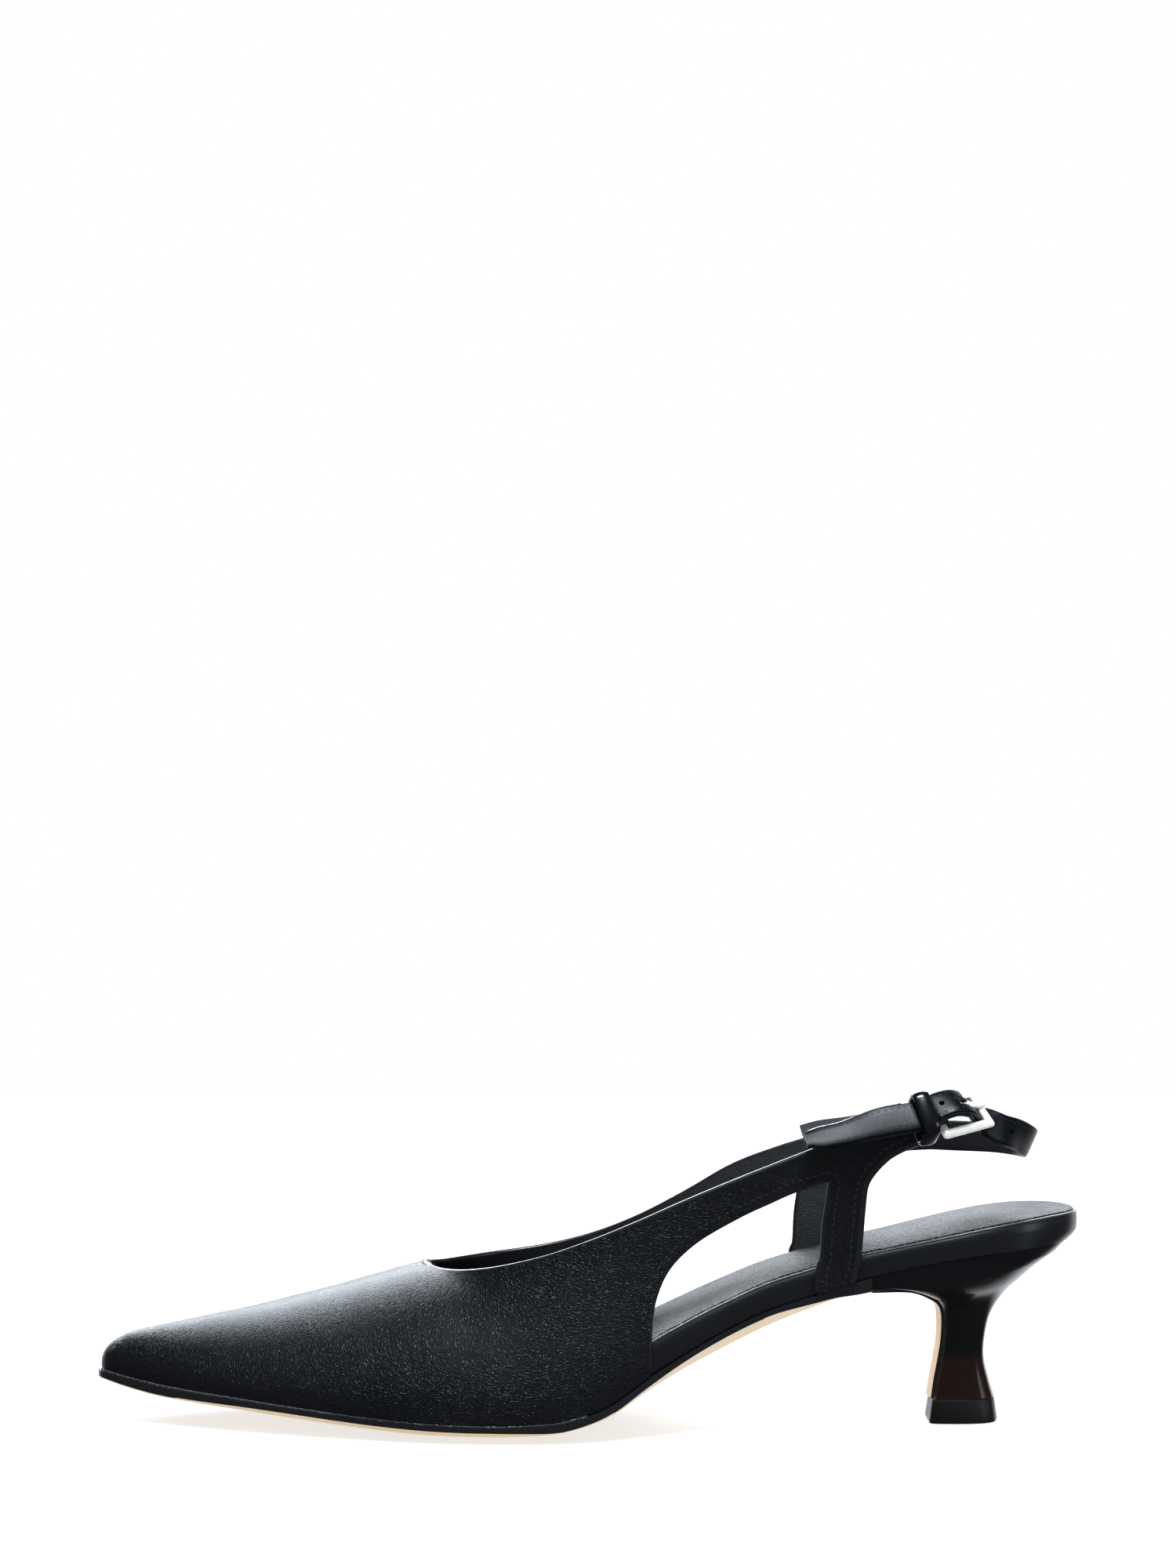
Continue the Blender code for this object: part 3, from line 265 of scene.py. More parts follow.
# Columns: dark and light colour; roughness; scale of the cells and of the wrinkles; share of the wrinkles;
# strength and depth of the bumps; specular; coat and its roughness
leatherLooks = {
    "upperLeather": ((0.0020, 0.0026, 0.0038), (0.0040, 0.0047, 0.0064), (0.32, 0.40),
                     1500.0, 330.0, 0.45, 0.9, 0.00013, 0.42, 0.0, 0.3),
    "strapLeather": ((0.0018, 0.0024, 0.0040), (0.0034, 0.0043, 0.0068), (0.28, 0.38),
                     2400.0, 500.0, 0.6, 0.35, 0.00007, 0.26, 0.0, 0.25),
    "keeperLeather": ((0.0022, 0.0026, 0.0036), (0.0045, 0.0050, 0.0065), (0.16, 0.24),
                      2400.0, 260.0, 0.9, 0.25, 0.00010, 0.55, 0.4, 0.12),
    "liningLeather": ((0.006, 0.0065, 0.008), (0.012, 0.013, 0.016), (0.46, 0.60),
                      1300.0, 240.0, 0.75, 0.7, 0.00022, 0.45, 0.0, 0.3),
    "edgePaint": ((0.006, 0.0065, 0.008), (0.010, 0.011, 0.013), (0.26, 0.34),
                  3000.0, 500.0, 0.8, 0.15, 0.00005, 0.55, 0.2, 0.2),
    "rimLeather": ((0.0045, 0.005, 0.006), (0.008, 0.0085, 0.010), (0.26, 0.34),
                   2200.0, 160.0, 0.5, 0.2, 0.00007, 0.5, 0.1, 0.2),
    # Painted highlight: grey and glossy, so that folds and raw edges show as a thin bright line
    "rimFold": ((0.03, 0.031, 0.034), (0.10, 0.102, 0.108), (0.12, 0.24),
                2600.0, 400.0, 0.8, 0.6, 0.00010, 0.7, 0.5, 0.12),
    "sockLeather": ((0.004, 0.0045, 0.006), (0.012, 0.013, 0.016), (0.34, 0.56),
                    1300.0, 190.0, 0.55, 1.0, 0.0013, 0.27, 0.0, 0.3),
    "soleLeather": ((0.62, 0.46, 0.28), (0.78, 0.61, 0.41), (0.42, 0.55),
                    2600.0, 300.0, 0.8, 0.2, 0.00006, 0.4, 0.1, 0.35),
    "thread": ((0.014, 0.015, 0.018), (0.030, 0.031, 0.035), (0.5, 0.6),
               6000.0, 3000.0, 0.6, 0.3, 0.00005, 0.4, 0.0, 0.3),
    # Dark glue whose lighter patches are painted glints
    "cement": ((0.006, 0.006, 0.007), (0.10, 0.10, 0.104), (0.08, 0.25),
               1500.0, 700.0, 0.8, 1.0, 0.0004, 0.8, 0.5, 0.1),
    "liftRubber": ((0.0035, 0.0035, 0.004), (0.007, 0.007, 0.008), (0.36, 0.46),
                   3500.0, 700.0, 0.7, 0.2, 0.00005, 0.5, 0.0, 0.3),
}
# Columns: low and high colour; heights between which they change; roughness; length and fineness of the scuffs;
# metallic; specular; coat
glossLooks = {
    # heelLacquer: the brown low colour under 16.5 to 18 mm is a painted reflection, not the lacquer's own colour
    "heelLacquer": ((0.016, 0.0055, 0.0030), (0.0030, 0.0034, 0.0042), (0.0165, 0.0180), (0.20, 0.28),
                    90.0, 900.0, 0.0, 0.5, 0.25),
    "paleMetal": ((0.93, 0.90, 0.83), (0.95, 0.93, 0.88), (0.076, 0.088), (0.25, 0.29),
                  300.0, 3000.0, 0.4, 0.5, 0.0),
}


# Curves through the rows of a table

def smoothRow(table, place):
    final = len(table) - 1
    place = min(max(place, 0.0), float(final))
    first = min(int(place), final - 1)
    part = place - first
    a, b = table[first], table[first + 1]
    slopeA = (b - table[first - 1]) / 2 if first > 0 else b - a
    slopeB = (table[first + 2] - a) / 2 if first + 2 <= final else b - a
    cubic, square = part ** 3, part ** 2
    return (
        (2 * cubic - 3 * square + 1) * a
        + (cubic - 2 * square + part) * slopeA
        + (3 * square - 2 * cubic) * b
        + (cubic - square) * slopeB
    )


def smoothOutline(table, steps):
    return [smoothRow(table, k / steps) for k in range((len(table) - 1) * steps + 1)]


def bezier(p0, p1, p2, p3, t):
    s = 1 - t
    return p0 * s ** 3 + p1 * 3 * s * s * t + p2 * 3 * s * t * t + p3 * t ** 3


def easeBetween(low, high, value):
    t = min(max((value - low) / (high - low), 0.0), 1.0)
    return t * t * (3 - 2 * t)


# The last

last = {
    "length": 0.2576, "ballWidth": 0.0731, "ballLevel": 0.0043,
    "toeSpring": 0.0085, "heelRise": 0.0429, "instepDepth": 0.0374,
}
# Columns: place along; edge outside and inside; toe spring; heel rise; rim height; sole crown and edge
lastSections = np.array((
    (0.000, 0.068, 0.068, 1.00, 0.000, 0.34, 0.10, 0.65),
    (0.004, 0.031, 0.105, 0.97, 0.000, 0.34, 0.14, 0.70),
    (0.015, -0.003, 0.141, 0.92, 0.000, 0.34, 0.20, 0.80),
    (0.035, -0.044, 0.183, 0.82, 0.000, 0.34, 0.27, 0.93),
    (0.064, -0.098, 0.234, 0.69, 0.000, 0.34, 0.34, 1.00),
    (0.104, -0.172, 0.293, 0.58, 0.000, 0.34, 0.40, 1.00),
    (0.151, -0.249, 0.352, 0.47, 0.000, 0.34, 0.45, 1.00),
    (0.199, -0.317, 0.404, 0.34, 0.000, 0.34, 0.48, 1.00),
    (0.246, -0.378, 0.445, 0.22, 0.000, 0.34, 0.50, 1.00),
    (0.292, -0.427, 0.476, 0.11, 0.000, 0.34, 0.50, 1.00),
    (0.341, -0.472, 0.497, 0.03, 0.000, 0.34, 0.48, 1.00),
    (0.392, -0.498, 0.490, 0.00, 0.000, 0.36, 0.46, 1.00),
    (0.436, -0.501, 0.462, 0.00, 0.004, 0.41, 0.46, 1.00),
    (0.478, -0.487, 0.424, 0.00, 0.026, 0.56, 0.50, 1.00),
    (0.520, -0.461, 0.383, 0.00, 0.112, 0.82, 0.62, 1.00),
    (0.559, -0.428, 0.346, 0.00, 0.262, 1.08, 0.72, 0.86),
    (0.597, -0.397, 0.313, 0.00, 0.398, 1.03, 0.82, 0.68),
    (0.640, -0.368, 0.286, 0.00, 0.538, 0.94, 0.88, 0.68),
    (0.683, -0.347, 0.271, 0.00, 0.653, 0.92, 0.80, 0.68),
    (0.726, -0.337, 0.268, 0.00, 0.734, 0.91, 0.52, 0.90),
    (0.768, -0.331, 0.278, 0.00, 0.815, 0.86, 0.24, 1.25),
    (0.811, -0.330, 0.294, 0.00, 0.881, 0.80, 0.10, 1.35),
    (0.858, -0.328, 0.311, 0.00, 0.939, 0.82, 0.10, 1.00),
    (0.900, -0.320, 0.316, 0.00, 0.976, 0.91, 0.10, 1.00),
    (0.935, -0.290, 0.290, 0.00, 1.000, 0.97, 0.10, 1.00),
    (0.962, -0.237, 0.237, 0.00, 1.011, 1.01, 0.10, 1.00),
    (0.984, -0.163, 0.163, 0.00, 1.016, 1.03, 0.10, 1.00),
    (0.996, -0.082, 0.082, 0.00, 1.016, 1.03, 0.10, 1.00),
    (1.000, 0.000, 0.000, 0.00, 1.016, 1.03, 0.10, 1.00),
))
# Columns: place along, side, height over the edge
vampRidge = np.array((
    (0.017, 0.068, 0.215),
    (0.021, 0.068, 0.237),
    (0.030, 0.069, 0.278),
    (0.046, 0.070, 0.328),
    (0.072, 0.070, 0.394),
    (0.111, 0.067, 0.475),
    (0.157, 0.061, 0.566),
    (0.205, 0.053, 0.680),
    (0.254, 0.042, 0.797),
    (0.298, 0.032, 0.922),
    (0.333, 0.022, 1.003),
))
outerTopline = np.array((
    (0.357, -0.150, 0.978),
    (0.397, -0.278, 1.008),
    (0.452, -0.358, 1.076),
    (0.502, -0.387, 1.096),
    (0.551, -0.396, 1.061),
    (0.601, -0.394, 1.055),
    (0.652, -0.387, 1.037),
    (0.700, -0.379, 1.034),
    (0.749, -0.374, 1.070),
    (0.795, -0.367, 1.094),
    (0.842, -0.350, 1.109),
))
innerTopline = np.array((
    (0.357, 0.195, 0.976),
    (0.397, 0.312, 0.975),
    (0.452, 0.374, 0.987),
    (0.502, 0.388, 0.962),
    (0.551, 0.386, 0.915),
    (0.601, 0.378, 0.935),
    (0.652, 0.369, 0.976),
    (0.700, 0.360, 0.973),
    (0.749, 0.353, 0.985),
    (0.795, 0.346, 0.982),
    (0.842, 0.339, 0.959),
))
# Columns: bulge, rise, reach, fall, belly
wallShapes = np.array((
    (0.008, 0.50, 0.60, 0.00, 0.000),
    (0.008, 0.50, 0.60, 0.00, 0.000),
    (0.008, 0.50, 0.58, 0.00, 0.000),
    (0.010, 0.50, 0.56, 0.00, 0.000),
    (0.012, 0.50, 0.54, 0.00, 0.000),
    (0.014, 0.50, 0.52, 0.00, 0.000),
    (0.016, 0.50, 0.50, 0.00, 0.000),
    (0.020, 0.50, 0.50, 0.00, 0.000),
    (0.024, 0.50, 0.50, 0.00, 0.000),
    (0.026, 0.49, 0.50, 0.00, 0.000),
    (0.028, 0.48, 0.50, 0.00, 0.000),
    (0.028, 0.46, 0.46, 0.10, 0.000),
    (0.026, 0.42, 0.42, 0.20, 0.000),
    (0.024, 0.38, 0.40, 0.26, 0.000),
    (0.022, 0.34, 0.36, 0.30, 0.000),
    (0.020, 0.33, 0.33, 0.33, 0.000),
    (0.018, 0.33, 0.33, 0.33, 0.000),
    (0.016, 0.33, 0.33, 0.33, 0.000),
    (0.012, 0.33, 0.33, 0.33, 0.000),
    (0.010, 0.33, 0.33, 0.33, 0.008),
    (0.010, 0.33, 0.33, 0.33, 0.024),
    (0.010, 0.33, 0.33, 0.33, 0.044),
))
throatRow, tailRow, lastRow = len(vampRidge) - 1, len(wallShapes) - 1, len(lastSections) - 1
topline = np.vstack((innerTopline[::-1], vampRidge[-1:], outerTopline))
upperWall = 0.0016
rimHeight = 0.0071


def alongToX(along):
    return (along - 0.5) * last["length"]


def edgeNormal(side, row):
    column = 1 if side == outer else 2
    ahead = smoothRow(lastSections, row + 0.05)
    behind = smoothRow(lastSections, row - 0.05)
    run = (ahead[0] - behind[0]) * last["length"]
    shift = (ahead[column] - behind[column]) * last["ballWidth"]
    if row < 0.05 or row > lastRow - 0.05:
        run = 0.0
    return Vector((-side * shift, side * run, 0.0)).normalized()


def edgeLevel(row):
    here = smoothRow(lastSections, row)
    return last["ballLevel"] + here[3] * last["toeSpring"] + here[4] * last["heelRise"]


def edgePoint(side, row, inset=0.0):
    here = smoothRow(lastSections, row)
    aside = here[1 if side == outer else 2] * last["ballWidth"]
    return Vector((alongToX(here[0]), aside, edgeLevel(row))) - edgeNormal(side, row) * inset


def rimLevel(row):
    return edgeLevel(row) + clearance + smoothRow(lastSections, row)[5] * rimHeight


edgeRows = np.linspace(0.0, lastRow, 561)
edgeXs = np.array([alongToX(smoothRow(lastSections, row)[0]) for row in edgeRows])


def rowAtX(x):
    return float(np.interp(x, edgeXs, edgeRows))


def topPoint(side, row):
    if row <= throatRow:
        here = smoothRow(vampRidge, row)
    else:
        here = smoothRow(topline, len(innerTopline) - side * (row - throatRow))
    rise = edgeLevel(row) + here[2] * last["instepDepth"]
    return Vector((alongToX(here[0]), here[1] * last["ballWidth"], rise))


def ridgeSlope(row):
    ahead = topPoint(outer, min(row + 0.05, throatRow))
    behind = topPoint(outer, max(row - 0.05, 0.0))
    return (ahead.z - behind.z) / (ahead.x - behind.x)


def wallPoint(side, row, share):
    foot = edgePoint(side, row) + Vector((0.0, 0.0, clearance))
    top = topPoint(side, row)
    bulge, rise, reach, fall, belly = smoothRow(wallShapes, row)
    depth = top.z - foot.z
    level = Vector((foot.x - top.x, foot.y - top.y, 0.0))
    slope = ridgeSlope(min(row, throatRow)) * max(0.0, 1.0 - max(0.0, row - throatRow))
    normal = edgeNormal(side, row)
    low = foot + normal * bulge * last["ballWidth"] + Vector((0.0, 0.0, rise * depth))
    high = top + level * reach + normal * belly * last["ballWidth"]
    high.z += level.x * reach * slope - fall * depth
    return bezier(foot, low, high, top, share)


topRows = np.linspace(throatRow, tailRow, 221)
topPoints = {side: np.array([topPoint(side, row) for row in topRows]) for side in (outer, inner)}


def toplineAtX(side, x):
    points = topPoints[side]
    return Vector((x, float(np.interp(x, points[:, 0], points[:, 1])), float(np.interp(x, points[:, 0], points[:, 2]))))


def sidePoint(side, along, height):
    x = alongToX(along)
    rim = rimLevel(rowAtX(x))
    return Vector((x, 0.0, rim + height * (toplineAtX(side, x).z - rim)))


# From a bmesh to a piece

def objectFrom(bm, name, looks):
    # Moves a bmesh to where the shoe stands and makes an object of it
    bmesh.ops.translate(bm, verts=bm.verts, vec=standShift)
    mesh = bpy.data.meshes.new(name)
    bm.to_mesh(mesh)
    bm.free()
    for look in looks:
        mesh.materials.append(materials[look])
    made = bpy.data.objects.new(name, mesh)
    bpy.context.scene.collection.objects.link(made)
    return made


def pieceFrom(bm, name, looks, slot, replaced=(), crease=40.0):
    piece = objectFrom(bm, name, looks)
    piece.data.shade_smooth()
    piece.data.set_sharp_from_angle(angle=math.radians(crease))
    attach(piece, "root")
    if replaced:
        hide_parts(*replaced)
    return piece


def grid(bm, rows, columns, place):
    # A grid whose points are moved to place(u, v), with u and v from 0 to 1
    made = bmesh.ops.create_grid(bm, x_segments=rows, y_segments=columns, size=0.5)
    for vert in made["verts"]:
        vert.co = place(vert.co.x + 0.5, vert.co.y + 0.5)


def closeGrid(bm, ends=True):
    # Joins the seam of a rolled-up grid and fills its two ends
    bmesh.ops.remove_doubles(bm, verts=bm.verts, dist=0.000002)
    loose = [edge for edge in bm.edges if edge.is_boundary]
    if ends and loose:
        bmesh.ops.holes_fill(bm, edges=loose, sides=0)
    bmesh.ops.recalc_face_normals(bm, faces=bm.faces)


def gridPiece(name, rows, columns, place, look, slot, replaced, crease):
    bm = bmesh.new()
    grid(bm, rows, columns, place)
    closeGrid(bm)
    return pieceFrom(bm, name, (look,), slot, replaced, crease)


def sweep(bm, stations, profile, closed=False):
    # stations: (centre, across, out); profile: closed list of (across, out) offsets
    count = len(stations) - (0 if closed else 1)
    around = len(profile)

    def place(u, v):
        centre, across, out = stations[round(u * count) % len(stations)]
        a, n = profile[round(v * around) % around]
        return centre + across * a + out * n

    grid(bm, count, around, place)


def sweptPiece(name, stations, profile, look, slot, replaced=(), crease=60.0, closed=False):
    bm = bmesh.new()
    sweep(bm, stations, profile, closed)
    closeGrid(bm, ends=not closed)
    return pieceFrom(bm, name, (look,), slot, replaced, crease)


def roundedLoop(length, width, radius, steps):
    # Points of a rounded rectangle, each with the direction out of it
    loop = []
    for cornerX, cornerY, start in ((1, 1, 0), (-1, 1, 90), (-1, -1, 180), (1, -1, 270)):
        for k in range(steps + 1):
            angle = math.radians(start + 90 * k / steps)
            x, y = math.cos(angle), math.sin(angle)
            point = (cornerX * (length / 2 - radius) + x * radius, cornerY * (width / 2 - radius) + y * radius)
            loop.append((point, (x, y)))
    return loop


def roundedProfile(width, thickness, soften, steps=3, crown=0.0):
    # Section of a strap: rounded edges, and a face that can be crowned
    points = [point for point, _ in roundedLoop(width, thickness, soften, steps)]
    filled = []
    for k, (a, n) in enumerate(points):
        filled.append((a, n))
        after = points[(k + 1) % len(points)]
        if abs(after[0] - a) > width * 0.4:  # a long side takes three more points
            for j in range(1, 4):
                filled.append((a + (after[0] - a) * j / 4, n + (after[1] - n) * j / 4))
    return [(a, n + (crown * (1 - (2 * a / width) ** 2) if n > 0 else 0.0)) for a, n in filled]


def runAt(points, k):
    return points[min(k + 1, len(points) - 1)] - points[max(k - 1, 0)]


def pathStations(points, outs):
    # Turns points and outward directions into stations for a sweep
    stations = []
    for k, point in enumerate(points):
        run = runAt(points, k).normalized()
        out = (outs[k] - run * outs[k].dot(run)).normalized()
        stations.append((point, out.cross(run), out))
    return stations


def circleProfile(radius, count=10):
    angles = [2 * math.pi * k / count for k in range(count)]
    return [(math.cos(angle) * radius, math.sin(angle) * radius) for angle in angles]


stitchRise = 0.42  # of a stitch's width


def addStitches(bm, points, outs, look):
    # Small worn stitches along a line of points on a surface
    lengths = [0.0]
    for a, b in zip(points, points[1:]):
        lengths.append(lengths[-1] + (b - a).length)
    for k in range(int(lengths[-1] / look["spacing"])):
        at = (k + 0.5) * look["spacing"]
        j = min(max(int(np.searchsorted(lengths, at)), 1), len(points) - 1)
        share = (at - lengths[j - 1]) / max(lengths[j] - lengths[j - 1], 1e-9)
        centre = points[j - 1].lerp(points[j], share)
        out = outs[j - 1].lerp(outs[j], share).normalized()
        side = out.cross((points[j] - points[j - 1]).normalized()).normalized()
        turned = Matrix((side.cross(out).normalized(), side, out)).transposed().to_4x4()
        size = Matrix.Diagonal((look["length"] / 2, look["width"] / 2, look["width"] * stitchRise, 1.0))
        placed = Matrix.Translation(centre) @ turned @ size
        bmesh.ops.create_icosphere(bm, subdivisions=1, radius=1.0, matrix=placed)


def bakeModifiers(piece):
    # Applies a piece's modifiers to its mesh
    bpy.context.view_layer.update()
    graph = bpy.context.evaluated_depsgraph_get()
    mesh = bpy.data.meshes.new_from_object(piece.evaluated_get(graph))
    old = piece.data
    piece.modifiers.clear()
    piece.data = mesh
    bpy.data.meshes.remove(old)
    mesh.name = piece.name


def cutWith(piece, cutters):
    for cutter in cutters:
        cut = piece.modifiers.new("cut", "BOOLEAN")
        cut.object = cutter
        cut.operation = "DIFFERENCE"
        cut.solver = "EXACT"
    bakeModifiers(piece)
    for cutter in cutters:
        mesh = cutter.data
        bpy.data.objects.remove(cutter)
        bpy.data.meshes.remove(mesh)


def cutterFrom(bm, name, looks, index=0):
    # Cutter whose faces leave the look at this index on what they cut
    bmesh.ops.recalc_face_normals(bm, faces=bm.faces)
    for face in bm.faces:
        face.material_index = index
    return objectFrom(bm, name, looks)


# Upper

upperLook = {
    "rowSteps": 8, "wallSteps": 36, "outlineSteps": 6,
    "edgeRadius": 0.00082, "bindingRadius": 0.00105,
    "easeReach": 0.016, "easeRounds": 30,  # how far and how often the wall is eased round the throat
    "stitchInset": 0.0020, "stitchStart": 0.0050, "stitchLift": 0.00002,
    "stitch": {"spacing": 0.0019, "length": 0.00125, "width": 0.00036},
    "zigzag": {"spacing": 0.00178, "length": 0.0016, "width": 0.00045},
    "zigzagEnds": (0.0015, 0.020), "zigzagPitch": 0.0011, "zigzagLift": 0.00003,
    "zigzagInset": 0.0015, "zigzagSwing": 0.0007,
}
# Cut-outs. Columns: place along, height from the insole's rim (0) to the topline (1)
windowFront = np.array((
    (0.561, -1.80),
    (0.561, -0.60),
    (0.561, 0.105),
    (0.562, 0.225),
    (0.565, 0.350),
    (0.572, 0.475),
    (0.582, 0.565),
    (0.597, 0.630),
    (0.617, 0.675),
    (0.653, 0.710),
    (0.680, 0.720),
    (0.707, 0.735),
    (0.738, 0.720),
))
windowBack = np.array((
    (0.742, 0.700),
    (0.740, 0.570),
    (0.736, 0.350),
    (0.734, 0.090),
    (0.729, -0.180),
    (0.729, -1.80),
))
tailOutline = np.array((
    (0.747, -0.620),
    (0.757, -0.290),
    (0.764, -0.175),
    (0.7685, -0.040),
    (0.770, 0.100),
    (0.773, 0.410),
    (0.776, 0.575),
    (0.785, 0.670),
    (0.799, 0.745),
    (0.815, 0.780),
    (0.827, 0.795),
))
innerCutShift = -0.0046
tailSlant = 0.31


def wallShell(side=None):
    bm = bmesh.new()
    for each in (outer, inner):
        if side in (None, each):
            grid(bm, tailRow * upperLook["rowSteps"], upperLook["wallSteps"],
                 lambda u, v, each=each: wallPoint(each, u * tailRow, v))
    bmesh.ops.remove_doubles(bm, verts=bm.verts, dist=0.00001)
    bmesh.ops.recalc_face_normals(bm, faces=bm.faces)
    return bm


def outwardShell(bm, side):
    face = max(bm.faces, key=lambda face: face.calc_center_median().y * side)
    if face.normal.y * side < 0:
        bmesh.ops.reverse_faces(bm, faces=bm.faces)


wallTrees = {}


def onWall(side, x, z, depth=0.0):
    # Point on the wall seen from the side, sunk by depth, and the direction out of the wall there
    hit, normal, _, _ = wallTrees[side].ray_cast(Vector((x, side * 0.2, z)), Vector((0.0, -side, 0.0)))
    if hit is None:
        return None, None
    return hit - normal * depth, normal


def cutLine(side, table):
    # Line of a cut-out's table on this side of the wall
    shift = 0.0 if side == outer else innerCutShift / last["length"]
    rows = smoothOutline(table, upperLook["outlineSteps"])
    return [sidePoint(side, along + shift, height) for along, height in rows]


def windowOutline(side):
    return cutLine(side, windowFront) + cutLine(side, windowBack)


def behindOutline(side):
    # The tail's line, closed round all that lies behind it
    line = cutLine(side, tailOutline)
    end, far = line[-1], alongToX(1.1)
    high = end.z + last["instepDepth"]
    corners = ((end.x - tailSlant * (high - end.z), high), (far, high), (far, line[0].z))
    return line + [Vector((x, 0.0, z)) for x, z in corners]


def prism(outline, side):
    # Cutter with this outline, seen from the side
    bm = bmesh.new()
    face = bm.faces.new([bm.verts.new(Vector((p.x, side * 0.004, p.z))) for p in outline])
    made = bmesh.ops.extrude_face_region(bm, geom=[face])
    moved = [item for item in made["geom"] if isinstance(item, bmesh.types.BMVert)]
    bmesh.ops.translate(bm, verts=moved, vec=Vector((0.0, side * 0.06, 0.0)))
    return bm


def offsetLine(points, distance):
    # Moves a line seen from the side to its left by the distance
    moved = []
    for k, point in enumerate(points):
        run = runAt(points, k)
        run = Vector((run.x, 0.0, run.z)).normalized()
        moved.append(Vector((point.x - run.z * distance, 0.0, point.z + run.x * distance)))
    return moved


def lineOnWall(side, line, depth, lowest=None):
    points, outs = [], []
    for place in line:
        point, out = onWall(side, place.x, place.z, depth)
        if point is not None and (lowest is None or place.z > lowest):
            points.append(point)
            outs.append(out)
    return points, outs


def easeThroat(bm):
    # Takes the crease out of the wall where the ridge ends and the topline starts
    middle, reach = topPoint(outer, throatRow).x, upperLook["easeReach"]
    soft = [vert for vert in bm.verts if abs(vert.co.x - middle) < reach and not vert.is_boundary]
    for _ in range(upperLook["easeRounds"]):
        bmesh.ops.smooth_vert(bm, verts=soft, factor=0.5, use_axis_x=False, use_axis_y=True, use_axis_z=True)


def makeShell():
    bm = wallShell()
    easeThroat(bm)
    outwardShell(bm, outer)
    looks = ("upperLeather", "liningLeather", "edgePaint")
    piece = pieceFrom(bm, "upperShell", looks, "black_leather", replaced=("upper",), crease=60.0)
    wall = piece.modifiers.new("wall", "SOLIDIFY")
    wall.thickness = upperWall
    wall.offset = -1.0
    wall.use_even_offset = True
    wall.material_offset = 1
    wall.material_offset_rim = 2
    cutters = []
    for side in (outer, inner):
        for outline in (windowOutline(side), behindOutline(side)):
            cutters.append(cutterFrom(prism(outline, side), "wallCutter", looks, 2))
    cutWith(piece, cutters)
    piece.data.set_sharp_from_angle(angle=math.radians(50.0))
    print("upper: shell", len(piece.data.polygons))


def collarRun(side):
    # Points of the topline from the throat to the tail, each with the direction out of the wall
    end = cutLine(side, tailOutline)[-1]
    run = []
    for row in np.linspace(throatRow, tailRow, (tailRow - throatRow) * upperLook["rowSteps"] + 1):
        top, below = wallPoint(side, row, 1.0), wallPoint(side, row, 0.95)
        ahead = wallPoint(side, min(row + 0.1, tailRow), 1.0) - wallPoint(side, max(row - 0.1, throatRow), 1.0)
        out = ahead.cross(top - below).normalized()
        out = out if out.y * side > 0 else -out
        if row == throatRow:  # both sides start in one direction
            out = Vector((-0.5, 0.0, 0.87))
        if top.x < end.x - tailSlant * (top.z - end.z):
            run.append((top - out * upperWall / 2, out))
    return run


def addZigzags(seams):
    # Zigzag rows on the lining of the far strap
    back, tail = cutLine(inner, windowBack), cutLine(inner, tailOutline)
    start, end = upperLook["zigzagEnds"]
    heights = np.arange(rimLevel(rowAtX(tail[0].x)) + start, back[-1].z + end, upperLook["zigzagPitch"])
    for line, way in ((back[::-1], 1), (tail, -1)):
        xs = np.interp(heights, [p.z for p in line], [p.x for p in line])
        points, outs = [], []
        for k, (x, z) in enumerate(zip(xs, heights)):
            swing = way * (upperLook["zigzagInset"] + upperLook["zigzagSwing"] * (-1) ** k)
            point, out = onWall(inner, x + swing, z, upperWall + upperLook["zigzagLift"])
            if point is not None:
                points.append(point)
                outs.append(-out)
        addStitches(seams, points, outs, upperLook["zigzag"])


def makeTrim():
    edges, seams = bmesh.new(), bmesh.new()
    for side in (outer, inner):
        bm = wallShell(side)
        outwardShell(bm, side)
        wallTrees[side] = BVHTree.FromBMesh(bm)
        bm.free()
        tail = cutLine(side, tailOutline)
        for line, radius in ((windowOutline(side), "edgeRadius"), (tail, "bindingRadius")):
            sweep(edges, pathStations(*lineOnWall(side, line, upperWall / 2)), circleProfile(upperLook[radius]))
            seam = offsetLine(line, upperLook["stitchInset"])
            lowest = tail[0].z + upperLook["stitchStart"]
            points, outs = lineOnWall(side, seam, -upperLook["stitchLift"], lowest)
            addStitches(seams, points, outs, upperLook["stitch"])
    addZigzags(seams)
    collar = collarRun(inner)[:0:-1] + collarRun(outer)
    sweep(edges, pathStations(*zip(*collar)), circleProfile(upperLook["edgeRadius"]))
    closeGrid(edges)
    pieceFrom(edges, "upperEdges", ("edgePaint",), "black_leather")
    pieceFrom(seams, "upperStitches", ("thread",), "black_leather")
    print("upper: edges and stitches")


# Insole's rim and sock

rimLook = {
    "softening": 0.0009, "undercut": 0.0027, "undercutRows": (24.0, 27.4), "undercutTop": 0.5, "undercutCurve": 1.8,
    "insetRows": (20.2, 22.6),  # where the rim comes out from inside the upper
    "foldInset": 0.00075, "foldRise": 0.00006, "foldRadius": 0.00028, "foldStart": 12.0, "foldSteps": 200,
    "levels": (0.0, 0.08, 0.17, 0.28, 0.42, 0.60, 0.80), "rowSteps": 5, "across": 12,
    "ends": (0.3, 0.15),  # rows left free at the toe and at the back
}
sockLook = {
    "ends": (0.5, 0.3), "inset": 0.0011, "rise": 0.00005, "thickness": 0.00075, "softening": 0.0006,
    "pad": 0.0012, "padRows": (17.0, 21.5), "thinRows": (24.2, 22.6), "thinShare": 0.15, "padEnd": 3.0,
}


def rimInset(row):
    return (upperWall + clearance) * (1.0 - easeBetween(*rimLook["insetRows"], row))


def rimUndercut(row):
    return rimLook["undercut"] * easeBetween(*rimLook["undercutRows"], row)


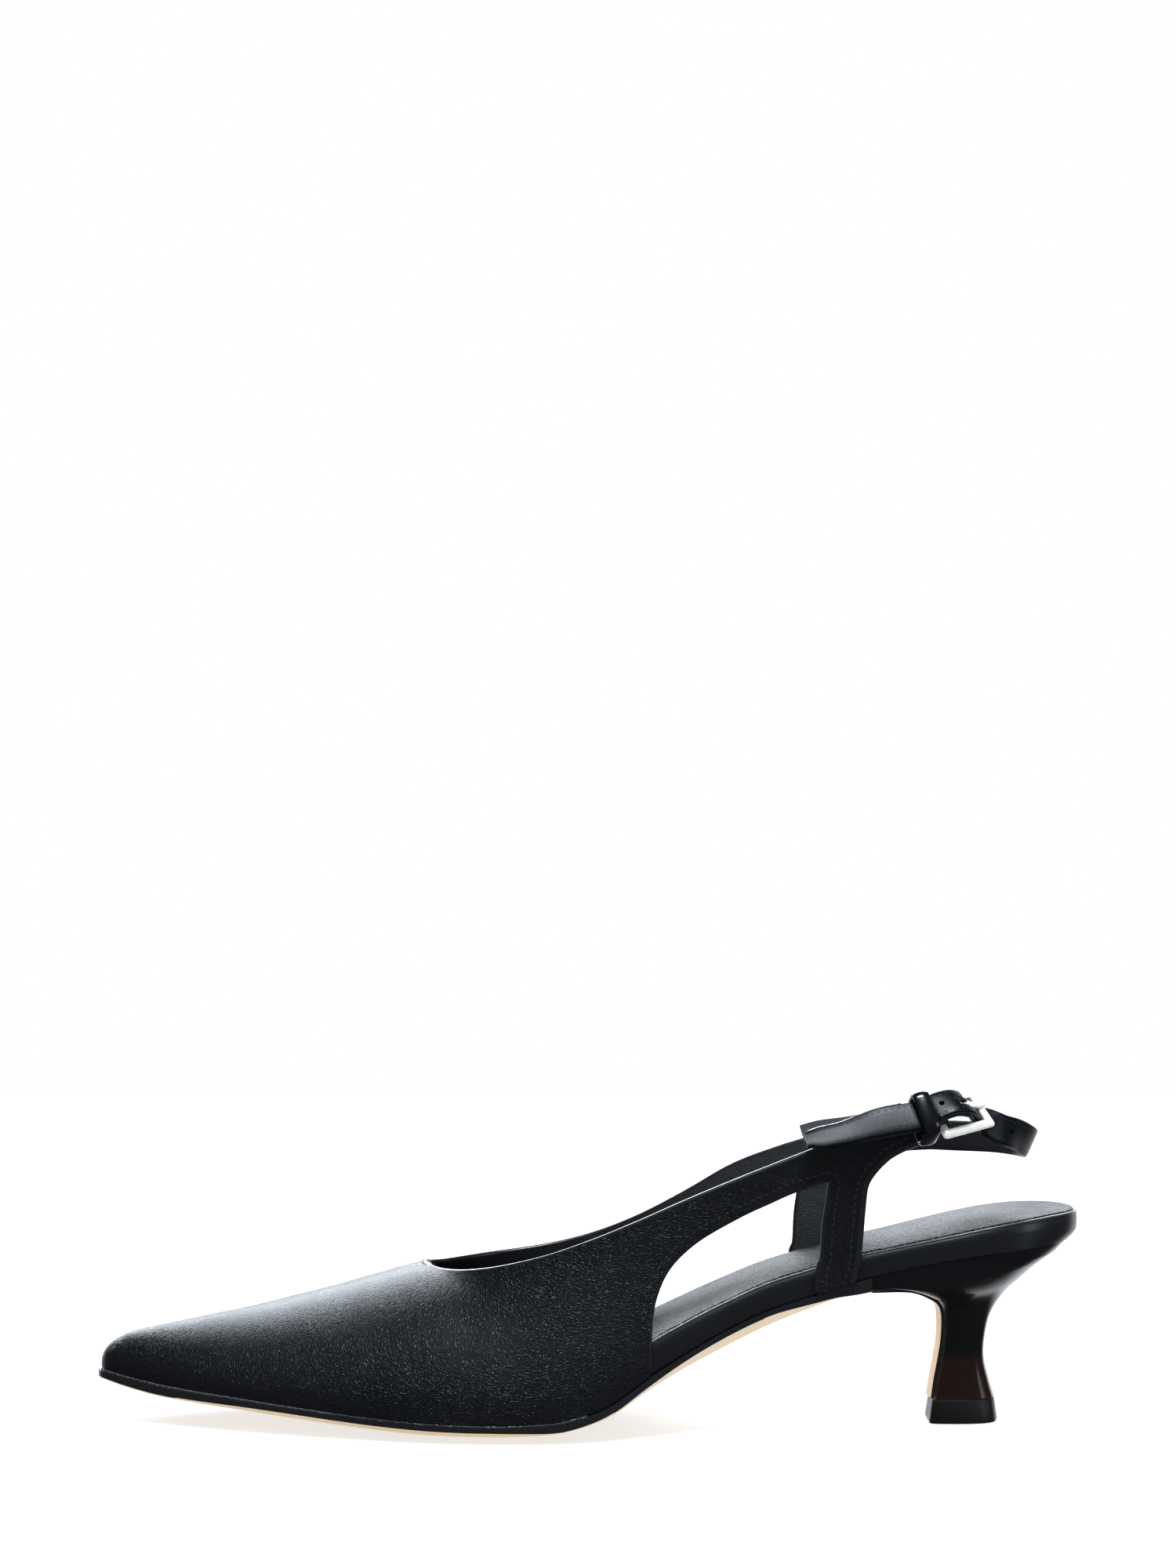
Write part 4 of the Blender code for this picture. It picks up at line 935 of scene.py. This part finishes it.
def sockCrown(row):
    # The padding starts ahead of the waist, thins out in the seat and ends before the back
    thin = sockLook["thinShare"]
    shares = easeBetween(*sockLook["padRows"], row) * easeBetween(lastRow, lastRow - sockLook["padEnd"], row)
    return sockLook["pad"] * shares * (thin + (1 - thin) * easeBetween(*sockLook["thinRows"], row))


def flat(row):
    return 0.0


def plate(name, ends, inset, undercut, bottom, top, crown, soften, look, slot, replaced):
    # Flat layer that fills the last's outline between its end rows, with softened edges all round
    first, final = ends[0], lastRow - ends[1]
    levels, across = rimLook["levels"], rimLook["across"]
    profile = [(-1.0, level) for level in levels] + [(-1.0, 1.0)]
    profile += [(-1.0 + 2.0 * k / across, 1.0) for k in range(1, across)]
    profile += [(1.0, 1.0)] + [(1.0, level) for level in levels[::-1]]
    profile += [(1.0 - 2.0 * k / 4, 0.0) for k in range(1, 4)]

    def place(u, v):
        row = first + (final - first) * u
        a, n = profile[round(v * len(profile)) % len(profile)]
        under = max(0.0, 1 - n / rimLook["undercutTop"]) ** rimLook["undercutCurve"]
        inward = inset(row) + undercut(row) * under
        left, right = edgePoint(outer, row, inward), edgePoint(inner, row, inward)
        span = (right - left).length
        soft = min(soften, span * 0.25)
        low, high = bottom(row), top(row)
        share = (a + 1) / 2
        z = low + (high - low) * n
        if abs(a) == 1.0:
            turn = math.asin(min(1.0, max(0.0, (z - high + soft) / soft)))
            share -= math.copysign(1, a) * soft / span * (1 - math.cos(turn))
        if n == 1.0:
            share = 0.5 + (share - 0.5) * (1 - 2 * soft / span) if abs(a) < 1.0 else share
            z += crown(row) * (1 - a * a)
        point = left.lerp(right, share)
        return Vector((point.x, point.y, z))

    steps = round((final - first) * rimLook["rowSteps"])
    return gridPiece(name, steps, len(profile), place, look, slot, replaced, 50.0)


def makeInsole():
    plate(
        "insoleRim", rimLook["ends"], rimInset, rimUndercut, lambda row: edgeLevel(row) + clearance, rimLevel, flat,
        rimLook["softening"], "rimLeather", "rim_leather", ("insole_board",),
    )
    sock = plate(
        "sockLayer", sockLook["ends"], lambda row: rimInset(row) + sockLook["inset"], flat,
        lambda row: rimLevel(row) + sockLook["rise"], lambda row: rimLevel(row) + sockLook["thickness"], sockCrown,
        sockLook["softening"], "sockLeather", "sock_leather", ("sock",),
    )

    # Folded edge of the rim's cover, which shows as a thin line round the sock; its grey look is a painted highlight
    # along the fold
    path = []
    rows = np.linspace(rimLook["foldStart"], lastRow - rimLook["ends"][1], rimLook["foldSteps"])
    for side, way in ((outer, 1), (inner, -1)):
        for row in rows[::way]:
            point = edgePoint(side, row, rimInset(row) + rimLook["foldInset"])
            path.append(Vector((point.x, point.y, rimLevel(row) + rimLook["foldRise"])))
    stations = pathStations(path, [Vector((0.0, 0.0, 1.0))] * len(path))
    sweptPiece("rimFold", stations, circleProfile(rimLook["foldRadius"], 8), "rimFold", "rim_leather")
    print("insole: rim and sock")


# Outsole

soleLook = {
    "edge": 0.0022, "margin": 0.0010, "tuck": 0.0012, "tuckRows": (13.5, 17.5), "crown": 0.0062,
    "cover": 0.0015, "coverEdge": 0.6, "coverSide": 0.85, "blackEdgeEnd": 0.864,
    "lipEase": (0.745, 0.783),  # where the edge runs down into the heel's lip
    "bareCorner": 0.0009, "leastCorner": 0.00012,
    "bareFrom": (0.03, 0.22), "bareTo": (0.50, 0.40),  # where the pale lower corner comes and goes
    "cornerSlant": 0.7, "start": 0.15, "sections": 20, "rowSteps": 6, "across": 24,
    "topSlope": 0.5, "edgeSlope": 0.45, "coverSlope": 0.35,  # how a face lies where the edge's paint covers it
}
cementLook = {
    "start": 0.2, "reach": 13.3, "steps": 180, "radius": 0.00026,
    "inset": -0.00005, "swell": 0.0001, "rise": 0.00012, "waver": 0.00006,
}
# Heel's breast. Columns: place along, height, half width of the cover, crown left under it
breastRows = np.array((
    (0.784, 0.922, 0.290, 0.10),
    (0.814, 0.909, 0.236, 0.05),
    (0.832, 0.877, 0.186, 0.02),
    (0.848, 0.818, 0.146, 0.00),
    (0.858, 0.760, 0.119, 0.00),
    (0.863, 0.656, 0.097, 0.00),
    (0.863, 0.469, 0.080, 0.00),
    (0.860, 0.310, 0.075, 0.00),
    (0.856, 0.150, 0.076, 0.00),
    (0.853, 0.000, 0.080, 0.00),
))
liftHeight = 0.0062


def soleSection(row):
    # Edges of the outsole's section, levels of its top and of its lower edge, and how far its middle hangs lower
    tuck = -soleLook["margin"] + (soleLook["margin"] + soleLook["tuck"]) * easeBetween(*soleLook["tuckRows"], row)
    top = edgeLevel(row)
    here = smoothRow(lastSections, row)
    edge, crown = here[7] * soleLook["edge"], here[6] * soleLook["crown"]
    rise = easeBetween(*soleLook["lipEase"], here[0])
    lip = seatFront().z - breastPoint(0).z + soleLook["cover"] * soleLook["coverEdge"]
    low = top - edge - rise * (lip - edge)
    return edgePoint(outer, row, tuck), edgePoint(inner, row, tuck), top, low, crown * (1 - rise)


def seatFront():
    x = alongToX(breastRows[0][0])
    return Vector((x, 0.0, edgeLevel(rowAtX(x))))


def breastPoint(place):
    here = smoothRow(breastRows, place)
    low = liftHeight + clearance
    return Vector((alongToX(here[0]), 0.0, low + here[1] * (seatFront().z - low)))


def sectionPlace(k, count):
    # Part of the section that point k lies on, and its share of the way across: the underside from the outer edge
    # to the inner one, the inner side, the top on the way back, the outer side
    across = soleLook["across"]
    if k <= across:
        return "under", k / across
    if k == across + 1:
        return "side", 1.0
    if k == count - 1:
        return "side", 0.0
    return "top", 1 - (k - across - 2) / (count - across - 4)


def solePlace(row, k, count):
    left, right, top, edge, crown = soleSection(row)
    along = (left.x - alongToX(0.0)) / last["length"]
    bare = soleLook["bareCorner"] * easeBetween(*soleLook["bareFrom"], along) * easeBetween(*soleLook["bareTo"], along)
    bare = max(bare, soleLook["leastCorner"])
    part, share = sectionPlace(k, count)
    z = edge + bare if part == "side" else top
    if part == "under":
        inset = min(soleLook["cornerSlant"] * bare / max((right - left).length, 1e-6), 0.3)
        share = inset + (1 - 2 * inset) * share
        z = max(0.0, edge - crown * (1 - (2 * share - 1) ** 2))
    point = left.lerp(right, min(max(share, 0.0), 1.0))
    return Vector((point.x, point.y, z))


def coverPlace(place, k, count):
    # The sole's cover, which runs down the heel's breast
    here = smoothRow(breastRows, place)
    final = len(breastRows) - 1
    run = breastPoint(min(place + 0.1, final)) - breastPoint(max(place - 0.1, 0.0))
    away = Vector((run.z, 0.0, -run.x)).normalized()
    front = rowAtX(alongToX(breastRows[0][0]))
    middle = (edgePoint(outer, front) + edgePoint(inner, front)).y / 2 * easeBetween(3.0, 0.0, place)
    edge = soleLook["cover"] * soleLook["coverEdge"]
    centre = soleLook["cover"] + here[3] * soleLook["crown"]
    part, share = sectionPlace(k, count)
    share = 2 * share - 1
    depths = {"under": edge + (centre - edge) * (1 - share * share), "side": edge * soleLook["coverSide"], "top": 0.0}
    aside = Vector((0.0, middle + share * here[2] * last["ballWidth"], 0.0))
    return breastPoint(place) + away * (clearance + depths[part]) + aside


def makeOutsole():
    steps, count = soleLook["rowSteps"], soleLook["across"] + 10
    front = rowAtX(alongToX(breastRows[0][0]) - clearance / 3)
    rows = np.linspace(soleLook["start"], front, soleLook["sections"] * steps + 1)
    covers = [k / steps for k in range((len(breastRows) - 1) * steps + 1)]
    total = len(rows) + len(covers)
    bm = bmesh.new()

    def place(u, v):
        j = round(u * (total - 1))
        k = round(v * count) % count
        if j < len(rows):
            return solePlace(rows[j], k, count)
        return coverPlace(covers[j - len(rows)], k, count)

    grid(bm, total - 1, count, place)
    closeGrid(bm)
    seat, blackEnd = seatFront().x, alongToX(soleLook["blackEdgeEnd"])
    for face in bm.faces:
        x, normal = face.calc_center_median().x, face.normal
        steep = abs(normal.z) < soleLook["edgeSlope"] if x < seat else abs(normal.y) > soleLook["coverSlope"]
        if normal.z > soleLook["topSlope"] or (steep and x < blackEnd):
            face.material_index = 1
    looks = ("soleLeather", "edgePaint")
    pieceFrom(bm, "outsoleLeather", looks, "sole_leather", replaced=("outsole",), crease=30.0)

    # Cement that shows where the upper meets the sole; its lighter patches are painted glints on the glue
    bm = bmesh.new()
    for side in (outer, inner):
        path = []
        for k in range(cementLook["steps"] + 1):
            row = cementLook["start"] + cementLook["reach"] * k / cementLook["steps"]
            inset = cementLook["inset"] + cementLook["swell"] * math.sin(k * 1.9) * math.sin(k * 0.37)
            point = edgePoint(side, row, inset)
            z = edgeLevel(row) + cementLook["rise"] + cementLook["waver"] * math.sin(k * 2.3)
            path.append(Vector((point.x, point.y, z)))
        outs = [Vector((0.0, side, 0.0))] * len(path)
        sweep(bm, pathStations(path, outs), circleProfile(cementLook["radius"], 6))
    closeGrid(bm)
    pieceFrom(bm, "cementLine", ("cement",), "sole_leather", crease=60.0)
    print("outsole")


# Heel and top-lift

heelLook = {"ringSteps": 5, "outlineSteps": 5, "seatInset": 0.0004, "seatLip": 0.0004, "liftInset": 0.5}
# Columns: place of the back, height, half width, share of the seat's outline
heelRows = np.array((
    (0.979, 0.946, 0.315, 1.00),
    (0.971, 0.915, 0.290, 0.84),
    (0.958, 0.859, 0.254, 0.58),
    (0.943, 0.780, 0.205, 0.30),
    (0.926, 0.678, 0.152, 0.10),
    (0.912, 0.537, 0.109, 0.00),
    (0.906, 0.383, 0.085, 0.00),
    (0.905, 0.244, 0.081, 0.00),
    (0.910, 0.107, 0.083, 0.00),
    (0.915, 0.000, 0.088, 0.00),
))
seatBack = 0.986
# Columns: place from the breast to the back, half width
neckOutline = np.array((
    (0.00, 0.00),
    (0.00, 0.45),
    (0.00, 0.84),
    (0.07, 0.96),
    (0.25, 1.00),
    (0.45, 1.00),
    (0.63, 0.96),
    (0.80, 0.84),
    (0.94, 0.55),
    (1.00, 0.00),
))
# Rings round the top-lift. Columns: depth under its top in the first table, height in the second; flare
liftTop = ((0.0, -0.00015), (0.00025, 0.00005))
liftFoot = ((0.0006, 0.0008), (0.0002, 0.00072), (0.0, 0.0004))


def heelPoint(front, back, half, seat, side, outlineRow):
    place, across = smoothRow(neckOutline, outlineRow)
    place = min(max(place, 0.0), 1.0)
    point = front.lerp(back, place)
    plan = front.x + place * (edgePoint(outer, lastRow).x - front.x)
    row = rowAtX(plan)
    wide = abs(edgePoint(side, row, rimInset(row) + heelLook["seatInset"]).y)
    spread = min(1.0, across / neckOutline[2][1]) if place < 0.02 else 1.0
    ending = 1.0 if place < 0.999 else 0.0
    y = (1 - seat) * half * across + seat * wide * spread * ending
    return Vector((point.x, side * y, point.z))


def aroundHeel(v):
    # Side, and row of the neck's outline, for v from 0 to 1 round the heel
    outline = (len(neckOutline) - 1) * heelLook["outlineSteps"]
    k = round(v * 2 * outline) % (2 * outline)
    side, k = (outer, k) if k <= outline else (inner, 2 * outline - k)
    return side, k / heelLook["outlineSteps"]


def makeHeel():
    seatTop = edgeLevel(lastRow)
    low = liftHeight + clearance
    rings = (len(heelRows) - 1) * heelLook["ringSteps"]
    around = 2 * (len(neckOutline) - 1) * heelLook["outlineSteps"]

    def place(u, v):
        j = round(u * (rings + 2))
        side, outlineRow = aroundHeel(v)
        if j < 2:
            back = Vector((alongToX(seatBack), 0.0, seatTop))
            point = heelPoint(seatFront(), back, 0.0, 1.0, side, outlineRow)
            point.z = edgeLevel(rowAtX(point.x)) - (0.0 if j == 0 else heelLook["seatLip"])
            return point
        ringRow = (j - 2) / heelLook["ringSteps"]
        back = smoothRow(heelRows, ringRow)
        behind = Vector((alongToX(back[0]), 0.0, low + back[1] * (seatTop - low)))
        return heelPoint(breastPoint(ringRow), behind, back[2] * last["ballWidth"], back[3], side, outlineRow)

    gridPiece("heelBlock", rings + 2, around, place, "heelLacquer", "heel_lacquer", ("heel",), 50.0)

    front = breastPoint(len(breastRows) - 1).x - soleLook["cover"] * heelLook["liftInset"]
    back = alongToX(heelRows[-1][0])
    half = heelRows[-1][2] * last["ballWidth"]
    levels = [(liftHeight - under, flare) for under, flare in liftTop] + list(liftFoot)

    def placeLift(u, v):
        z, flare = levels[round(u * (len(levels) - 1))]
        side, outlineRow = aroundHeel(v)
        at, across = smoothRow(neckOutline, outlineRow)
        x = front - flare + min(max(at, 0.0), 1.0) * (back - front + 2 * flare)
        return Vector((x, side * across * (half + flare), z))

    gridPiece("topLift", len(levels) - 1, around, placeLift, "liftRubber", "lift_rubber", ("top_lift",), 35.0)
    print("heel and top-lift")


# Straps, keeper and buckle

strapLook = {
    "width": 0.0080, "ply": 0.0011, "liningPly": 0.0009, "tipParting": 0.0014, "tipLift": 0.0022,
    "taper": 0.25, "liningTaper": 0.06, "freeStations": 36, "freeNarrow": 0.24, "narrowing": (35, 12),
    "steps": 10, "partRows": 3, "taperRows": 0.8, "softShare": 0.38, "crown": 0.00012,
    "edgeRow": 0.0013, "stitchLift": 0.00004,
    "stitch": {"spacing": 0.0017, "length": 0.0011, "width": 0.00030},
    "plyEdgeOut": 0.3, "plyEdgeRadius": 0.00020,
    "holes": ((0.0908, 0.0853), (0.1092, 0.0765), (0.1175, 0.0722)), "holeRadius": 0.00075, "holeDepth": 0.008,
}
buckleLook = {
    "length": 0.0145, "bar": 0.0022, "thickness": 0.0017, "lean": 52.0, "cornerRadii": (0.0009, 0.0003),
    "tailToBar": 0.0071, "tailToFrame": 0.0008, "foldGap": 0.0002, "arcSteps": 24,
    "prongWidth": 0.0017, "prongThickness": 0.0010, "prongSlot": 0.0005, "prongSoft": 0.00034,
    "prongTip": 8, "prongNarrow": 0.25,
}
billetLook = {"ply": 0.0010, "width": 0.0064}
keeperLook = {
    "width": 0.0045, "ply": 0.0011, "wide": 0.0094, "deep": 0.0080, "radius": 0.0016, "softShare": 0.48,
    "crown": 0.00045, "rise": 0.0006, "out": 0.0014, "lean": 30.0,
}
frameAlong = Vector((0.924, 0.314, 0.207)).normalized()
keeperAlong = Vector((0.950, 0.230, 0.210)).normalized()
# Section of the frame's bar. Columns: across and out, as shares of half its width and half its thickness
frameFacets = (
    (1.0, -0.55), (1.0, 0.10), (0.93, 0.30), (0.42, 0.93), (0.30, 1.0), (-0.55, 1.0), (-0.80, 0.90), (-1.0, 0.55),
    (-1.0, -0.55), (-0.75, -1.0), (0.75, -1.0),
)
# The strap's middle, from its free end to the far quarter, in four tables whose last column is its lean
# Columns: place along; over the near topline and out of it, in strap widths
freeEnd = np.array((
    (0.715, 0.55, 0.38, 42.0),
    (0.737, 0.42, 0.33, 38.0),
    (0.760, 0.28, 0.29, 35.0),
    (0.790, 0.14, 0.27, 32.0),
))
# Columns: place along the frame, from bar to bar; out of it and up, in strap widths
atBuckle = np.array((
    (-1.62, 0.36, 0.03, 35.0),
    (-1.06, 0.54, 0.04, 42.0),
    (-0.42, 0.60, 0.02, 50.0),
    (0.07, 0.45, 0.00, 51.0),
    (0.38, 0.12, 0.00, 51.0),
    (0.70, -0.26, -0.02, 50.0),
    (1.12, -0.50, -0.05, 44.0),
))
# Columns: place along, side, height from the seat to the topline's end
roundHeel = np.array((
    (0.915, -0.232, 0.845, 14.0),
    (0.933, -0.160, 0.795, -8.0),
    (0.947, -0.070, 0.730, -22.0),
    (0.949, 0.030, 0.702, -24.0),
    (0.941, 0.120, 0.698, -14.0),
    (0.920, 0.200, 0.704, -4.0),
    (0.885, 0.256, 0.705, 2.0),
    (0.848, 0.286, 0.705, 4.0),
))
# Columns: place along; in from the far topline and under it, in strap widths
inQuarter = np.array((
    (0.806, 0.20, 0.50, 2.0),
    (0.780, 0.24, 0.52, 2.0),
    (0.752, 0.28, 0.56, 2.0),
))
# Top of the prong. Columns: place along the frame, rise in its own thicknesses
prongArch = np.array((
    (-0.50, 0.95),
    (0.00, 1.35),
    (0.50, 0.85),
    (0.88, 0.12),
    (1.12, 0.00),
))
holeReach = (-0.36, 0.62)
# The buckle's strap over and under the frame. Columns: place along the frame, out in its own thicknesses, lean
billetOutside = np.array((
    (-2.02, -0.90, 24.0),
    (-1.70, -0.20, 30.0),
    (-1.38, 0.80, 44.0),
))
billetInside = np.array((
    (-1.15, -1.80, 51.0),
))


def leanedAxis(run, lean):
    run = run.normalized()
    up = (Vector((0.0, 0.0, 1.0)) - run * run.z).normalized()
    away = run.cross(up)
    angle = math.radians(lean)
    return up * math.cos(angle) - away * math.sin(angle)


def tailEnd():
    low = sidePoint(outer, *tailOutline[-1])
    top = toplineAtX(outer, low.x)
    middle = (low.z + top.z) / 2
    points = [wallPoint(outer, tailRow, k / 40) for k in range(41)]
    y = float(np.interp(middle, [p.z for p in points], [p.y for p in points]))
    return Vector((low.x - tailSlant * (middle - low.z), y, middle))


def barPlace():
    return (buckleLook["length"] - buckleLook["bar"]) / 2


def frameAxes():
    up = leanedAxis(frameAlong, buckleLook["lean"])
    return frameAlong, up, frameAlong.cross(up)


def framePoint(along, up, out):
    a, u, n = frameAxes()
    middle = tailEnd() + a * (buckleLook["tailToBar"] + barPlace()) + n * buckleLook["tailToFrame"]
    return middle + a * along + u * up + n * out


def foldRadius():
    return buckleLook["bar"] / 2 + buckleLook["foldGap"] + buckleLook["prongThickness"] / 2


def barArc(start, turn):
    # Angles of a fold round the frame's bar, each with the place of the fold there, along and out
    radius, steps = foldRadius(), buckleLook["arcSteps"]
    angles = [math.radians(start + turn * k / steps) for k in range(steps + 1)]
    return [(angle, (-barPlace() + math.sin(angle) * radius, math.cos(angle) * radius)) for angle in angles]


def slingRows():
    width = strapLook["width"]
    rows = []
    for along, height, out, lean in freeEnd:
        base = toplineAtX(outer, alongToX(along))
        rows.append((*(base + Vector((0.0, -out * width, height * width))), lean))
    for place, out, up, lean in atBuckle:
        rows.append((*framePoint(place * barPlace(), up * width, out * width), lean))
    seat = edgeLevel(lastRow)
    rise = toplineAtX(outer, alongToX(outerTopline[-1][0])).z - seat
    for along, aside, height, lean in roundHeel:
        rows.append((alongToX(along), aside * last["ballWidth"], seat + height * rise, lean))
    inside = upperWall + clearance + (strapLook["ply"] + strapLook["liningPly"] + clearance) / 2
    for along, aside, depth, lean in inQuarter:
        base = toplineAtX(inner, alongToX(along) + innerCutShift) - Vector((0.0, aside * width, 0.0))
        rows.append((base.x, base.y - inside, base.z - depth * width, lean))
    return np.array(rows)


def slingStations(offset, parting, lift, taper):
    rows = slingRows()
    steps = strapLook["steps"]
    path = smoothOutline(rows, steps)
    stations = []
    for k, here in enumerate(path):
        run = Vector(runAt(path, k)[:3]).normalized()
        axis = leanedAxis(run, here[3])
        out = run.cross(axis)
        parted = easeBetween(strapLook["partRows"] * steps, 0, k)
        centre = Vector(here[:3]) + out * (offset - parting * parted) + axis * lift * parted
        narrow = 1.0 - taper * easeBetween(strapLook["taperRows"] * steps, 0, k)
        stations.append((centre, axis * narrow, out))
    return stations


def slotCutter(start, length, deep, look):
    # Cutter for the slot that the prong stands in
    half = buckleLook["prongWidth"] / 2 + buckleLook["prongSlot"]
    bm = bmesh.new()
    bmesh.ops.create_cube(bm, size=1.0)
    for vert in bm.verts:
        x, y, z = vert.co
        vert.co = framePoint(start + (x + 0.5) * length, 2 * y * half, 2 * z * deep)
    return cutterFrom(bm, "slotCutter", (look,))


def holeCutter(stations, x, z, look):
    near = [station for station in stations if station[0].y < 0.01]
    centre, _, out = min(near, key=lambda station: (station[0].x - x) ** 2 + (station[0].z - z) ** 2)
    placed = Matrix.Translation(centre) @ out.to_track_quat("Z", "Y").to_matrix().to_4x4()
    radius = strapLook["holeRadius"]
    bm = bmesh.new()
    bmesh.ops.create_cone(
        bm, cap_ends=True, segments=16, radius1=radius, radius2=radius, depth=strapLook["holeDepth"], matrix=placed
    )
    return cutterFrom(bm, "holeCutter", (look,))


def makeSling():
    width, ply, liningPly = strapLook["width"], strapLook["ply"], strapLook["liningPly"]
    total = ply + clearance + liningPly
    strap = slingStations((total - ply) / 2, 0.0, 0.0, strapLook["taper"])
    for k, (centre, axis, out) in enumerate(strap[:strapLook["freeStations"]]):
        narrow = strapLook["freeNarrow"] * easeBetween(*strapLook["narrowing"], k)
        strap[k] = (centre - axis * width * narrow / 2, axis * (1 - narrow), out)
    parting, lift, taper = strapLook["tipParting"], strapLook["tipLift"], strapLook["liningTaper"]
    lining = slingStations(-(total - liningPly) / 2, parting, lift, taper)
    start, end = holeReach
    for name, stations, thick, look, slot, node, crown in (
        ("slingStrap", strap, ply, "strapLeather", "black_leather", "sling_strap", strapLook["crown"]),
        ("slingLining", lining, liningPly, "liningLeather", "strap_lining", "sling_lining", 0.0),
    ):
        profile = roundedProfile(width, thick, thick * strapLook["softShare"], 3, crown)
        piece = sweptPiece(name, stations, profile, look, slot, replaced=(node,))
        cutters = [slotCutter(start * barPlace(), (end - start) * barPlace(), width, look)]
        cutters += [holeCutter(strap, x, z, look) for x, z in strapLook["holes"]]
        cutWith(piece, cutters)
        piece.data.set_sharp_from_angle(angle=math.radians(50.0))

    # Raw upper edge of the outer ply, where the plies part at the free end; the thin tube along it has the grey look of
    # a painted highlight line
    points, axes = [], []
    for centre, axis, out in strap[2:strapLook["freeStations"]]:
        points.append(centre + axis * width / 2 + out * ply * strapLook["plyEdgeOut"])
        axes.append(axis)
    sweptPiece(
        "plyEdgeHighlight", pathStations(points, axes), circleProfile(strapLook["plyEdgeRadius"], 6), "rimFold", "black_leather"
    )
    seams = bmesh.new()
    outs = [out for _, _, out in strap]
    for sign in (-1, 1):
        aside, above = sign * (width / 2 - strapLook["edgeRow"]), ply / 2 + strapLook["stitchLift"]
        points = [centre + axis * aside + out * above for centre, axis, out in strap]
        addStitches(seams, points[4:-2], outs[4:-2], strapLook["stitch"])
    pieceFrom(seams, "slingStitches", ("thread",), "black_leather")
    print("sling strap and its lining")


def makeBillet():
    a, _, n = frameAxes()
    radius, ply = foldRadius(), billetLook["ply"]

    def flatRows(table, run):
        return [(framePoint(place * barPlace(), 0, out * ply), lean, run) for place, out, lean in table]

    rows = flatRows(billetOutside, a)
    for angle, (along, out) in barArc(0, 180):
        rows.append((framePoint(along, 0, out), buckleLook["lean"], a * math.cos(angle) - n * math.sin(angle)))
    rows += flatRows(billetInside, -a)
    stations = []
    for centre, lean, run in rows:
        axis = leanedAxis(frameAlong, lean)
        across = (axis - run * axis.dot(run)).normalized()
        stations.append((centre, across, run.cross(across)))
    profile = roundedProfile(billetLook["width"], ply, ply * strapLook["softShare"])
    piece = sweptPiece("buckleStrap", stations, profile, "strapLeather", "black_leather", replaced=("buckle_strap",))
    start = -barPlace() - radius - buckleLook["prongSlot"]
    cutWith(piece, [slotCutter(start, 3 * radius, radius * 3, "strapLeather")])
    print("buckle's strap")


def makeKeeper():
    up = leanedAxis(keeperAlong, keeperLook["lean"])
    out = keeperAlong.cross(up)
    width, ply = keeperLook["width"], keeperLook["ply"]
    along = -barPlace() - buckleLook["bar"] / 2 - 2 * clearance - width / 2
    centre = framePoint(along, keeperLook["rise"], keeperLook["out"])
    stations = []
    for (x, y), way in roundedLoop(keeperLook["wide"] + ply, keeperLook["deep"] + ply, keeperLook["radius"], 6):
        stations.append((centre + up * x + out * y, keeperAlong, up * way[0] + out * way[1]))
    profile = roundedProfile(width, ply, ply * keeperLook["softShare"], 4, keeperLook["crown"])
    sweptPiece("keeperLoop", stations, profile, "keeperLeather", "black_leather", replaced=("keeper",), closed=True)


def makeBuckle():
    a, u, n = frameAxes()
    length, bar, thickness = buckleLook["length"], buckleLook["bar"], buckleLook["thickness"]
    width = strapLook["width"] + 2 * bar + 2 * clearance
    outerRadius, innerRadius = buckleLook["cornerRadii"]
    outside = roundedLoop(length, width, outerRadius, 5)
    inside = roundedLoop(length - 2 * bar, width - 2 * bar, innerRadius, 5)
    stations = []
    for (far, _), (near, _) in zip(outside, inside):
        wide = Vector((far[0] - near[0], far[1] - near[1]))
        centre = framePoint((far[0] + near[0]) / 2, (far[1] + near[1]) / 2, 0)
        across = (a * wide.x + u * wide.y).normalized()
        stations.append((centre, across * wide.length / bar, n))
    facets = [(x * bar / 2, y * thickness / 2) for x, y in frameFacets]
    sweptPiece("buckleFrame", stations, facets, "paleMetal", "buckle_metal", ("buckle_frame",), 22.0, closed=True)

    thick = buckleLook["prongThickness"]
    path = [place for _, place in barArc(-200, 200)]
    rest = thickness / 2 + clearance / 2 + thick / 2
    arch = [(place * barPlace(), rest + rise * thick) for place, rise in prongArch]
    path += [tuple(point) for point in smoothOutline(np.array([path[-1]] + arch), 6)[1:]]
    points = [framePoint(along, 0, out) for along, out in path]
    final = len(points) - 1
    stations = []
    for k, point in enumerate(points):
        run = runAt(points, k).normalized()
        narrow = 1.0 - buckleLook["prongNarrow"] * easeBetween(final + 1 - buckleLook["prongTip"], final, k)
        stations.append((point, u * narrow, run.cross(u)))
    profile = roundedProfile(buckleLook["prongWidth"], thick, buckleLook["prongSoft"])
    sweptPiece("bucklePin", stations, profile, "paleMetal", "buckle_metal", ("buckle_prong",), 50.0)
    print("keeper and buckle")


for make in (makeCamera, makeFloor, makeWorld, makeLights):
    make(bpy.context.scene)
for looks, make, group in (
    (leatherLooks, leatherMaterial, makeGrainGroup()),
    (glossLooks, glossMaterial, makeScuffGroup()),
):
    for name in looks:
        materials[name] = make(name, group)
print("studio and materials")

for make in (makeShell, makeTrim, makeInsole, makeOutsole, makeHeel, makeSling, makeBillet, makeKeeper, makeBuckle):
    make()
